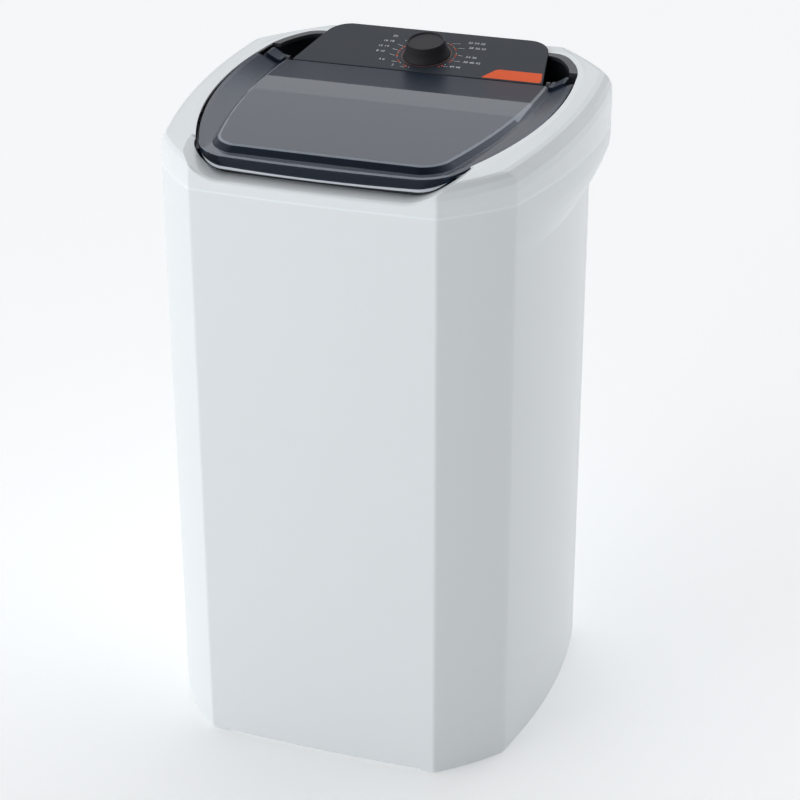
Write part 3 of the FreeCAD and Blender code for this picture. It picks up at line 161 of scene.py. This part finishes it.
# %% Studio floor
def new_object(name, points, faces, finish):
    """A mesh with one finish, as an object in the scene."""
    mesh = bpy.data.meshes.new(name)
    mesh.from_pydata(points, [], faces)
    mesh.materials.append(finish)
    made = bpy.data.objects.new(name, mesh)
    scene.collection.objects.link(made)
    return made


floor_half, floor_level = 60.0, -0.0005
floor_sides = (-1, -1), (1, -1), (1, 1), (-1, 1)
paper, paper_tree = new_finish("matt_backdrop_paper")
paper_shader = add(paper_tree, "ShaderNodeBsdfPrincipled", {
    "Base Color": linear("#f7f8f8"), "Roughness": 0.9, "Specular IOR Level": 0.0,
    "Emission Color": linear("#ffffff"), "Emission Strength": 0.24})
add(paper_tree, "ShaderNodeOutputMaterial", {"Surface": paper_shader})
corners = [(x * floor_half, y * floor_half, floor_level) for x, y in floor_sides]
floor = new_object("studio_floor", corners, [(0, 1, 2, 3)], paper)
print("floor", floor_half * 2, "m wide")

# %% [markdown]
# Most pieces are moulded plastic or plain metal. What the eye reads is a base tone that
# drifts a little, a gloss that isn't quite even, and a fine grain. Each could have a network
# of its own, but one function that takes real sizes keeps them alike. Its sizes are in
# millimetres: drift is the width of a cloud of tone, grain the width of one pit, and depth
# how deep a pit is. Stretch draws the pattern out along an axis where it is below one.

# %% Moulded and metal finishes
def surface(name, light, dark, rough, sway, drift, grain, depth,
            metallic=0.0, ior=1.5, stretch=(1, 1, 1)):
    """A finish whose tone and gloss drift slowly, with a fine grain in relief."""
    material, tree = new_finish(name)
    where = add(tree, "ShaderNodeTexCoord").outputs["Object"]
    laid = add(tree, "ShaderNodeMapping", {"Vector": where, "Scale": stretch})
    cloud = add(tree, "ShaderNodeTexNoise", {
        "Vector": laid, "Scale": METRE / drift, "Detail": 1.0}).outputs["Fac"]
    pits = add(tree, "ShaderNodeTexNoise", {
        "Vector": laid, "Scale": METRE / grain, "Detail": 2.0}).outputs["Fac"]
    tone = add(tree, "ShaderNodeValToRGB", {"Fac": cloud})
    tone.color_ramp.elements[0].color = linear(dark)
    tone.color_ramp.elements[1].color = linear(light)
    gloss = add(tree, "ShaderNodeMapRange", {
        "Value": cloud, "To Min": rough - sway, "To Max": rough + sway})
    relief = add(tree, "ShaderNodeBump", {
        "Height": pits, "Strength": 0.5, "Distance": depth / METRE})
    shader = add(tree, "ShaderNodeBsdfPrincipled", {
        "Base Color": tone, "Roughness": gloss, "Normal": relief,
        "Metallic": metallic, "IOR": ior})
    add(tree, "ShaderNodeOutputMaterial", {"Surface": shader})
    return material


finishes = {}
print("surface function ready")

# %% [markdown]
# The cabinet and the top cover are white polypropylene, injection moulded in a polished tool.
# A flat white would look like paper. The eye gets a soft gloss, a cool white, and the faint
# waviness of a large moulding as it shrinks: waves 4 mm across and two microns deep.

# %% White mouldings
# The cabinet's large faces have a soft gloss.
finishes["white_cabinet"] = surface(
    "polypropylene_gloss_white", "#eef2f4", "#ecf0f2",
    rough=0.3, sway=0.02, drift=400, grain=4.0, depth=0.002)
# The cover comes from a better polished tool, so it mirrors the tent a little more.
finishes["white_cover"] = surface(
    "polypropylene_polished_white", "#f0f4f6", "#eef2f4",
    rough=0.22, sway=0.02, drift=300, grain=4.0, depth=0.002)
print("white mouldings done")

# %% [markdown]
# The cover's lower edge is rounded and meets the cabinet in a fine seam, which catches the
# light all round. It could be a bevel on the solid, but the rounding is too slight to cut, so
# that light is painted: the last 3 mm of the cover are drawn in a purer white, as a painted
# highlight. The cover laps 10 mm down inside the cabinet, so the seam lies that far above its
# lowest point.

# %% Painted highlight along the cover's seam
cover_lap, seam_highlight_band = 0.010, 0.003
seam_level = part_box("top_cover")[0].z + cover_lap
colour_a, colour_b, colour_out = 6, 7, 2  # a mix node's sockets for colour
cover_tree = finishes["white_cover"].node_tree
cover_shader = next(node for node in cover_tree.nodes if node.type == "BSDF_PRINCIPLED")
cover_tone = cover_shader.inputs["Base Color"].links[0].from_socket
cover_where = add(cover_tree, "ShaderNodeTexCoord").outputs["Object"]
cover_height = add(cover_tree, "ShaderNodeSeparateXYZ", {"Vector": cover_where}).outputs["Z"]
# Below 3 mm above the seam the cover is drawn in a purer white: a painted highlight.
in_seam_highlight = add(cover_tree, "ShaderNodeMath", {0: cover_height, 1: seam_level + seam_highlight_band},
              operation="LESS_THAN")
seam_highlight_tone = add(cover_tree, "ShaderNodeMix", {
    0: in_seam_highlight, colour_a: cover_tone, colour_b: linear("#f6fcff")}, data_type="RGBA")
cover_tree.links.new(seam_highlight_tone.outputs[colour_out], cover_shader.inputs["Base Color"])
print("seam line", METRE * seam_highlight_band, "mm tall")

# %% [markdown]
# The lid is smoked styrene-acrylonitrile, clear enough to see the opening through it, and
# polished on both faces. A grey see-through shader would do, but the polish matters more: it
# mirrors the tent on the flat window and the dark panel near the hinge. So it is a glass-like
# shader with a dark blue-grey tint and very low roughness.
# The lid's faces are told apart by where they are and how far they lean. Each mask is one
# where a value lies between two limits, and zero elsewhere.

# %% Smoked lid: masks
smoked, lid_tree = new_finish("styrene_acrylonitrile_smoked")
lid_where = add(lid_tree, "ShaderNodeTexCoord")
lid_spot = add(lid_tree, "ShaderNodeSeparateXYZ", {"Vector": lid_where.outputs["Object"]})
lid_lean = add(lid_tree, "ShaderNodeSeparateXYZ", {"Vector": lid_where.outputs["Normal"]})
lid_x, lid_y, lid_z = (lid_spot.outputs[axis] for axis in "XYZ")
lean_z = lid_lean.outputs["Z"]
band_front, band_rear = -0.010, 0.053
mask_limits = {
    "window": (lid_x, -0.2135, 0.2135), "coat_band": (lid_y, band_front, band_rear),
    "upright": (lean_z, -0.5, 0.5),
    "bevel_lean": (lean_z, 0.86, 0.93), "bevel_run": (lid_x, -0.213, 0.213),
    "ledge_lean": (lean_z, 0.97, 1.01), "ledge_level": (lid_z, 0.93, 0.945)}
masks = {}
for name, (value, low, high) in mask_limits.items():
    masks[name] = add(lid_tree, "ShaderNodeMath", {
        0: value, 1: (low + high) / 2, 2: (high - low) / 2}, operation="COMPARE")
print("lid masks:", len(masks))

# %% [markdown]
# A band across the window has a hard coat, which adds a little sheen there. Behind it the
# window falls a few degrees to the hinge. The fall could be cut in the solid, but it is too
# slight for that, so it is a bump along the depth.

# %% Smoked lid: hard coat and rear fall
coat_weight = 0.2
fall_end, fall_slope = 0.132, 0.14
window_coat = add(lid_tree, "ShaderNodeMath", {0: masks["window"], 1: coat_weight},
                  operation="MULTIPLY")
coat = add(lid_tree, "ShaderNodeMath", {0: masks["coat_band"], 1: window_coat},
           operation="MULTIPLY")
fall = add(lid_tree, "ShaderNodeMapRange", {
    "Value": lid_y, "From Min": band_rear, "From Max": fall_end,
    "To Max": -fall_slope * (fall_end - band_rear)})
fall_relief = add(lid_tree, "ShaderNodeBump", {
    "Height": fall, "Distance": 1.0, "Strength": masks["window"]})
print("coat band", METRE * (band_rear - band_front), "mm deep")

# %% [markdown]
# The falling rear has a satin face, so it gives back a blurred panel and not the tent. The
# gutters beside the window turn to satin slowly from front to rear, and the steep faces, the
# lip and the walls, hardly shine. Each could be a material of its own. One satin mask that
# sets roughness and shine together keeps the change smooth.

# %% Smoked lid: polish and satin
cloud_mm, gloss_low, gloss_high = 90.0, 0.02, 0.05
gutter_front, gutter_rear = -0.08, 0.11
satin_rough, satin_dulling = 0.34, 0.85
steep_lean, level_lean, steep_shine, level_shine = 0.6, 0.9, 0.02, 0.5
value_a, value_b = 2, 3  # a mix node's sockets for plain values
lid_cloud = add(lid_tree, "ShaderNodeTexNoise", {
    "Vector": lid_where.outputs["Object"], "Scale": METRE / cloud_mm, "Detail": 2.0})
polish = add(lid_tree, "ShaderNodeMapRange", {
    "Value": lid_cloud.outputs["Fac"], "To Min": gloss_low, "To Max": gloss_high})
gutter = add(lid_tree, "ShaderNodeMapRange", {
    "Value": lid_y, "From Min": gutter_front, "From Max": gutter_rear},
    interpolation_type="SMOOTHSTEP")
behind = add(lid_tree, "ShaderNodeMath", {0: lid_y, 1: band_rear}, operation="GREATER_THAN")
satin = add(lid_tree, "ShaderNodeMix", {0: masks["window"], value_a: gutter, value_b: behind},
            data_type="FLOAT")
lid_rough = add(lid_tree, "ShaderNodeMath", {0: satin, 1: satin_rough, 2: polish},
                operation="MULTIPLY_ADD")
shine = add(lid_tree, "ShaderNodeMapRange", {
    "Value": lean_z, "From Min": steep_lean, "From Max": level_lean,
    "To Min": steep_shine, "To Max": level_shine})
rear_shine = add(lid_tree, "ShaderNodeMapRange", {
    "Value": satin, "To Min": 1.0, "To Max": 1.0 - satin_dulling})
lid_shine = add(lid_tree, "ShaderNodeMath", {0: shine, 1: rear_shine}, operation="MULTIPLY")
print("satin starts", METRE * band_rear, "mm behind the middle")

# %% [markdown]
# Clear plastic gathers light and lets it out at its edges. That light is painted here: the
# bevel round the window, the ledge in front of it and the lower edge of the lip are drawn pale
# and not see-through, as painted highlights. They could be pieces of their own, but they are
# one moulding, so they are masks in one finish.
# The lip's edge is a band above its sloping underside.

# %% Smoked lid: painted edge highlights
lip_low, lip_high, lip_front, lip_back = 0.9240, 0.94105, -0.271, -0.227
edge_tall, bevel_share, ledge_share = 0.0019, 0.55, 0.25
lip_under = add(lid_tree, "ShaderNodeMapRange", {
    "Value": lid_y, "From Min": lip_front, "From Max": lip_back,
    "To Min": lip_low + edge_tall, "To Max": lip_high + edge_tall})
below = add(lid_tree, "ShaderNodeMath", {0: lid_z, 1: lip_under}, operation="LESS_THAN")
# Painted highlights: the lip's edge band, the window's bevel and the front ledge.
painted_highlight_faces = [(below, masks["upright"], 1.0),
              (masks["bevel_lean"], masks["bevel_run"], bevel_share),
              (masks["ledge_lean"], masks["ledge_level"], ledge_share)]
pale = 0.0
for one, other, share in painted_highlight_faces:
    both = add(lid_tree, "ShaderNodeMath", {0: one, 1: other}, operation="MULTIPLY")
    part = add(lid_tree, "ShaderNodeMath", {0: both, 1: share}, operation="MULTIPLY")
    pale = add(lid_tree, "ShaderNodeMath", {0: pale, 1: part}, operation="MAXIMUM")
print("edge band", METRE * edge_tall, "mm tall")

# %% [markdown]
# The tint is darker on the upright front faces of the lip. It is darker too on the satin rear,
# as a painted reflection of the dark panel near the hinge. The painted highlights and this
# painted reflection also make the lid less see-through. A tint on the face is quicker to render
# and easier to match. Then the shader takes up all that was made for the lid.

# %% Smoked lid: tint and shader
lip_wall, satin_share, clearness = -0.2475, 0.6, 0.85
in_front = add(lid_tree, "ShaderNodeMath", {0: lid_y, 1: lip_wall}, operation="LESS_THAN")
dark_lip_front = add(lid_tree, "ShaderNodeMath", {0: masks["upright"], 1: in_front},
                operation="MULTIPLY")
# The rear's share of the dark tint is a painted reflection of the dark panel.
rear_painted_reflection = add(lid_tree, "ShaderNodeMath", {0: satin, 1: satin_share}, operation="MULTIPLY")
deep = add(lid_tree, "ShaderNodeMath", {0: dark_lip_front, 1: rear_painted_reflection}, operation="MAXIMUM")
# The painted highlights and the painted reflection make the lid less see-through.
painted_light_opaque = add(lid_tree, "ShaderNodeMath", {0: pale, 1: rear_painted_reflection}, operation="MAXIMUM")
# The dark colour holds the lip's darker front and the rear's painted reflection; the pale one
# holds the painted highlights.
darkened_tint = add(lid_tree, "ShaderNodeMix", {
    0: deep, colour_a: linear("#39475c"), colour_b: linear("#1a2029")}, data_type="RGBA")
lid_tint = add(lid_tree, "ShaderNodeMix", {
    0: pale, colour_a: darkened_tint.outputs[colour_out], colour_b: linear("#dde2e8")},
    data_type="RGBA")
clear = add(lid_tree, "ShaderNodeMapRange", {"Value": painted_light_opaque, "To Min": clearness, "To Max": 0.0})
lid_shader = add(lid_tree, "ShaderNodeBsdfPrincipled", {
    "Base Color": lid_tint.outputs[colour_out], "Transmission Weight": clear, "IOR": 1.48,
    "Roughness": lid_rough, "Normal": fall_relief, "Coat Weight": coat,
    "Specular IOR Level": lid_shine, "Specular Tint": linear("#d4e2ff")})
add(lid_tree, "ShaderNodeOutputMaterial", {"Surface": lid_shader})
finishes["smoked_lid"] = smoked
print("nodes in the lid's finish:", len(lid_tree.nodes))

# %% [markdown]
# The panel, its inlay, the knob and the frame under the lid, and the dark pieces inside.
# Each could be one plain black, but side by side their gloss sets them apart.
# The pits are about 0.3 mm on the real pieces and are drawn wider here, so that they show.
# Film and fine satin give back less of the tent than a smooth face would, so their index of
# refraction is set lower than the plastic's own.

# %% Dark mouldings and the inlay
# ABS under a slate film: dark, cool and satin.
finishes["fascia"] = surface("abs_slate_film", "#333841", "#2f343d", rough=0.45, sway=0.03,
                             drift=60, grain=0.8, depth=0.02, ior=1.22)
# An orange film: a strong even colour with little gloss.
finishes["accent"] = surface("polyester_film_orange", "#f55f20", "#f0591c", rough=0.4, sway=0.03,
                             drift=25, grain=0.8, depth=0.01, ior=1.2)
# Black ABS with a finer satin, so the knob shows a soft light along its side.
finishes["knob"] = surface("abs_black_satin", "#3d3c3f", "#39383b", rough=0.3, sway=0.04,
                           drift=20, grain=0.7, depth=0.01, ior=1.13)
# Charcoal polypropylene from a spark-eroded tool: matt and pitted.
finishes["inner_frame"] = surface("polypropylene_charcoal", "#35383d", "#2e3135", rough=0.45,
                                  sway=0.05, drift=50, grain=1.0, depth=0.05)
# Moulded nylon: black, with a dry face.
finishes["dark_plastic"] = surface("nylon_black", "#242527", "#1c1d1f", rough=0.5, sway=0.05,
                                   drift=30, grain=1.0, depth=0.05)
# Glass fibres near the skin leave the pulleys greyer and rougher.
finishes["pulley"] = surface("glass_filled_nylon", "#303134", "#26272a", rough=0.55, sway=0.06,
                             drift=12, grain=1.2, depth=0.08)
# Moulded rubber: almost no gloss.
finishes["rubber"] = surface("epdm_rubber", "#2a2a2b", "#202021", rough=0.75, sway=0.05,
                             drift=15, grain=1.5, depth=0.1)
print("dark finishes done")

# %% [markdown]
# The wash tub, the pulsator and the lint filter are natural and pale blue-grey polypropylene,
# and the timer's case and the capacitor are ivory plastics. One white for all would look like
# one piece. The tub comes off a tall core and shows drawing marks up its wall, so its grain
# is stretched along the height.

# %% Wet side and electrical cases
# Natural polypropylene: a milky grey-white with upright marks.
finishes["tub"] = surface("polypropylene_natural", "#dfe3e4", "#d6dbdd", rough=0.36, sway=0.05,
                          drift=80, grain=2.0, depth=0.03, stretch=(1, 1, 0.1))
# The pulsator is smoother, because the wash runs over it.
finishes["pulsator"] = surface("polypropylene_blue_grey", "#bccad6", "#b1c0cd", rough=0.3,
                               sway=0.04, drift=40, grain=1.5, depth=0.03)
# A paler blue sets the filter off from the pulsator.
finishes["filter"] = surface("polypropylene_pale_blue", "#c4d2dd", "#b9c8d4", rough=0.36,
                             sway=0.04, drift=20, grain=1.0, depth=0.03)
# Pressed phenolic resin: a warm ivory, dry to the eye.
finishes["timer"] = surface("phenolic_ivory", "#d3cdbd", "#c8c2b1", rough=0.5, sway=0.05,
                            drift=10, grain=1.0, depth=0.04)
# The capacitor's moulded case: a cooler ivory with a little gloss.
finishes["capacitor"] = surface("polypropylene_ivory", "#dad9d2", "#d0cfc7", rough=0.42, sway=0.04,
                                drift=20, grain=1.0, depth=0.03)
print("pale finishes done")

# %% [markdown]
# The lint bag is a nylon net with a thread every 0.8 mm, drawn every 6 mm so that it shows.
# Threads could be modelled one by one, but two crossed waves give them for almost nothing,
# and the same waves darken the holes between them with painted shade.

# %% Lint net
thread_mm, thread_rise_mm = 6.0, 0.3
waves_per_scale = 10 / math.pi  # a wave texture of scale one has this many waves in a metre
wave_scale = METRE / thread_mm / waves_per_scale
net, net_tree = new_finish("nylon_net_woven")
net_where = add(net_tree, "ShaderNodeTexCoord").outputs["Object"]
warp, weft = (add(net_tree, "ShaderNodeTexWave", {"Vector": net_where, "Scale": wave_scale},
                  bands_direction=axis).outputs["Fac"] for axis in "XZ")
threads = add(net_tree, "ShaderNodeMath", {0: warp, 1: weft}, operation="MAXIMUM")
# The darker colour is painted shade in the holes between the threads.
net_tone = add(net_tree, "ShaderNodeValToRGB", {"Fac": threads})
net_tone.color_ramp.elements[0].color = linear("#8f9499")
net_tone.color_ramp.elements[1].color = linear("#eceae3")
net_relief = add(net_tree, "ShaderNodeBump", {
    "Height": threads, "Distance": thread_rise_mm / METRE})
net_shader = add(net_tree, "ShaderNodeBsdfPrincipled", {
    "Base Color": net_tone, "Normal": net_relief, "Roughness": 0.7})
add(net_tree, "ShaderNodeOutputMaterial", {"Surface": net_shader})
finishes["filter_mesh"] = net
print("thread every", thread_mm, "mm")

# %% [markdown]
# The screws and shafts, the bearing housing and its bushes, and the motor's bells, stator and
# bracket are metal. A metal keeps the default index of refraction, and its look comes from tone,
# roughness and the marks of its making, so the same function serves.

# %% Metals
# Zinc-plated steel: bright, with a faint mottle.
finishes["steel"] = surface("steel_zinc_plated", "#c3c5c8", "#b2b4b8", rough=0.3, sway=0.06,
                            drift=6, grain=0.8, depth=0.02, metallic=1.0)
# Die-cast aluminium: a duller skin with shallow pits.
finishes["cast"] = surface("aluminium_die_cast", "#c9cacb", "#b9babc", rough=0.48, sway=0.08,
                           drift=12, grain=1.5, depth=0.08, metallic=1.0)
# Sintered bronze: warm, and open in the grain.
finishes["bronze"] = surface("bronze_sintered", "#b08a55", "#9a7444", rough=0.45, sway=0.06,
                             drift=4, grain=0.6, depth=0.05, metallic=1.0)
# Galvanised plate: broad pale patches in the zinc.
finishes["bracket"] = surface("steel_galvanised", "#b7babc", "#9fa3a6", rough=0.42, sway=0.08,
                              drift=14, grain=2.0, depth=0.02, metallic=1.0)
# Lacquered laminations: level lines, drawn twice as thick as the sheets so that they show.
finishes["stator"] = surface("lamination_steel_lacquered", "#4a4d51", "#36393c", rough=0.5,
                             sway=0.06, drift=8, grain=1.0, depth=0.1, metallic=0.6,
                             stretch=(0.02, 0.02, 1))
print("finishes:", len(finishes))

# %% [markdown]
# Each solid of the machine comes with a plain material that has its slot's name. The finishes
# could be given out by hand. A loop that reads the slot's name can't miss one.

# %% Put the finishes on the solids
for node in nodes.values():
    slot = node.data.materials[0].name.split(".")[0]
    node.data.materials.clear()
    node.data.materials.append(finishes[slot])
print("dressed", len(nodes), "solids")

# %% [markdown]
# The dial is printed on the panel round the knob: dots, short pointer lines and plain numbers
# for the minutes. A picture could be mapped on, but ink laid as thin raised shapes stays
# sharp at any distance. Everything is set out in millimetres on the panel's own plane, across
# it and up it from the knob's axis.

# %% Panel plane
ink = 0.12
knob_joint = next(joint for joint in frame["joints"] if joint["name"] == "timer_turn")
panel_normal = Vector(knob_joint["axis"]).normalized()
panel_across = Vector((1, 0, 0))
panel_up = panel_normal.cross(panel_across).normalized()
panel_middle = Vector(knob_joint["pos_m"])


def on_panel(across, up, height):
    """A point from millimetres across and up from the knob's axis, and above the panel."""
    return panel_middle + (panel_across * across + panel_up * up + panel_normal * height) / METRE


def printed(name, outlines, finish):
    """Thin raised shapes on the panel, one closed outline each, as one piece."""
    points, faces = [], []
    for outline in outlines:
        count, first = len(outline), len(points)
        points += [on_panel(x, y, height) for height in (0.0, ink) for x, y in outline]
        faces.append([first + i for i in range(count)][::-1])
        faces.append([first + count + i for i in range(count)])
        for i in range(count):
            after = (i + 1) % count
            faces.append([first + i, first + after, first + count + after, first + count + i])
    piece = new_object(name, points, faces, finish)
    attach(piece, "cabinet")


print("panel plane at", [round(v, 4) for v in panel_middle])

# %% [markdown]
# The dial's shapes are round dots and straight strokes. Each could be a primitive with a
# modifier. A flat outline is enough, because the printing function gives it its thickness.

# %% Dots and strokes
dot_sides = 16
stroke = 0.7


def disc(across, up, radius):
    """A round dot as an outline."""
    turns = [2 * math.pi * i / dot_sides for i in range(dot_sides)]
    return [(across + radius * math.cos(turn), up + radius * math.sin(turn)) for turn in turns]


def bar(ax, ay, bx, by):
    """A straight stroke as an outline."""
    length = math.hypot(bx - ax, by - ay)
    sx, sy = (ay - by) / length * stroke / 2, (bx - ax) / length * stroke / 2
    return [(ax + sx, ay + sy), (ax - sx, ay - sy), (bx - sx, by - sy), (bx + sx, by + sy)]


def on_dial(degrees, radius):
    """A spot round the knob, in degrees clockwise from the panel's front."""
    turn = math.radians(degrees)
    return -radius * math.sin(turn), -radius * math.cos(turn)


print("stroke", stroke, "mm wide")

# %% [markdown]
# Screen ink dries to a thin matt film that is never quite even. A flat colour would do from
# afar, but a little drift of tone shows it as ink when seen close. The orange is the inlay's.

# %% Screen inks
# Opaque white: bright, with no gloss to speak of.
white_ink = surface("screen_ink_white", "#dfe2e4", "#d3d7da", rough=0.5, sway=0.05,
                    drift=6, grain=0.8, depth=0.01)
# Russet over the dark film: a dim warm line.
russet_ink = surface("screen_ink_russet", "#9a5a3e", "#8f5238", rough=0.5, sway=0.05,
                     drift=6, grain=0.8, depth=0.01)
print("inks:", white_ink.name, russet_ink.name)

# %% [markdown]
# Three screens print the dial: orange dots, white strokes and small dots, and a russet ring
# round the knob. An even step round the circle would be shorter, but the real places follow
# none, so they are written as a table.

# %% Set out the dial
labels = [(-41, -42, "2"), (-64, -28, "4 6"), (-75, -3, "8 10"), (-76, 14, "12 14"),
          (-73, 31, "16 18"), (-68, 48, "20"), (66, 49, "22 24 26"), (72, 33, "28 30 32"),
          (71, 4, "34 36"), (77, -12, "38 40 42"), (56, -30, "44 46")]
dot_turns = [25, 50, 75, 95, 112, 130, 215, 236, 262, 284, 310]
dial_radius, ring_radius, ring_steps = 46.0, 38.5, 60
main_dot, next_dot, white_dot, dot_step = 1.6, 1.1, 0.9, 7
line_gap, line_share = 3.5, 0.35
white_shapes, orange_shapes, russet_shapes = [], [], []
for turn, (across, up, _) in zip(dot_turns, labels):
    orange_shapes.append(disc(*on_dial(turn, dial_radius), main_dot))
    orange_shapes.append(disc(*on_dial(turn + dot_step, dial_radius), next_dot))
    white_shapes.append(disc(*on_dial(turn - dot_step, dial_radius), white_dot))
    near, far = Vector(on_dial(turn, dial_radius + line_gap)), Vector((across, up))
    white_shapes.append(bar(*near, *near.lerp(far, line_share)))
for i in range(ring_steps):
    turn, after = 360 * i / ring_steps, 360 * (i + 1) / ring_steps
    russet_shapes.append(bar(*on_dial(turn, ring_radius), *on_dial(after, ring_radius)))
printed("dial_dots", orange_shapes, finishes["accent"])
printed("dial_lines", white_shapes, white_ink)
printed("dial_ring", russet_shapes, russet_ink)
print("dots:", len(orange_shapes), "white marks:", len(white_shapes), "ring:", ring_steps)

# %% [markdown]
# The numbers are printed in the same white ink. Text objects could stay as they are, but as
# meshes they join into one piece on the panel's plane, as the print is.

# %% Numbers on the dial
number_height, figure_share = 5.5, 0.7  # a figure's height, and its share of the text size


def number_mesh(text):
    """Numbers as a thin flat mesh, in millimetres about their middle."""
    letters = bpy.data.curves.new("number", "FONT")
    letters.body = text
    letters.size = number_height / figure_share
    letters.align_x = "CENTER"
    letters.align_y = "CENTER"
    letters.extrude = ink / 2
    holder = bpy.data.objects.new("number", letters)
    scene.collection.objects.link(holder)
    solid = holder.evaluated_get(bpy.context.evaluated_depsgraph_get())
    made = bpy.data.meshes.new_from_object(solid)
    bpy.data.objects.remove(holder)
    return made


points, faces = [], []
for across, up, figures in labels:
    digits = number_mesh(figures)
    first = len(points)
    points += [on_panel(across + v.co.x, up + v.co.y, ink / 2 + v.co.z) for v in digits.vertices]
    faces += [[first + i for i in face.vertices] for face in digits.polygons]
dial_numbers = new_object("dial_numbers", points, faces, white_ink)
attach(dial_numbers, "cabinet")
print("labels:", len(labels))

# %% [markdown]
# The knob's foot flares to a thin skirt, which gives the fingers a hold. The solid is a plain
# cone there, so the flare is turned here as a ring: a profile in millimetres out from the
# knob's axis and above the panel, swept round in small steps. It could be a cone with a
# modifier, but a profile is easier to match. It turns with the knob.

# %% Knob skirt
skirt_profile = [(33.0, 1.0), (36.8, 1.0), (35.8, 3.0), (34.2, 6.0), (32.9, 9.0),
                 (31.95, 12.0), (30.8, 12.0)]
skirt_steps, rows = 72, len(skirt_profile)
crease = math.radians(40)
points, faces = [], []
for i in range(skirt_steps):
    turn, after = 2 * math.pi * i / skirt_steps, (i + 1) % skirt_steps
    points += [on_panel(out * math.cos(turn), out * math.sin(turn), height)
               for out, height in skirt_profile]
    for j in range(rows):
        above = (j + 1) % rows
        faces.append([i * rows + j, after * rows + j, after * rows + above, i * rows + above])
knob_skirt = new_object("knob_skirt", points, faces, finishes["knob"])
knob_skirt.data.shade_smooth()
knob_skirt.data.set_sharp_from_angle(angle=crease)
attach(knob_skirt, "timer dial")
print("skirt faces:", len(faces))
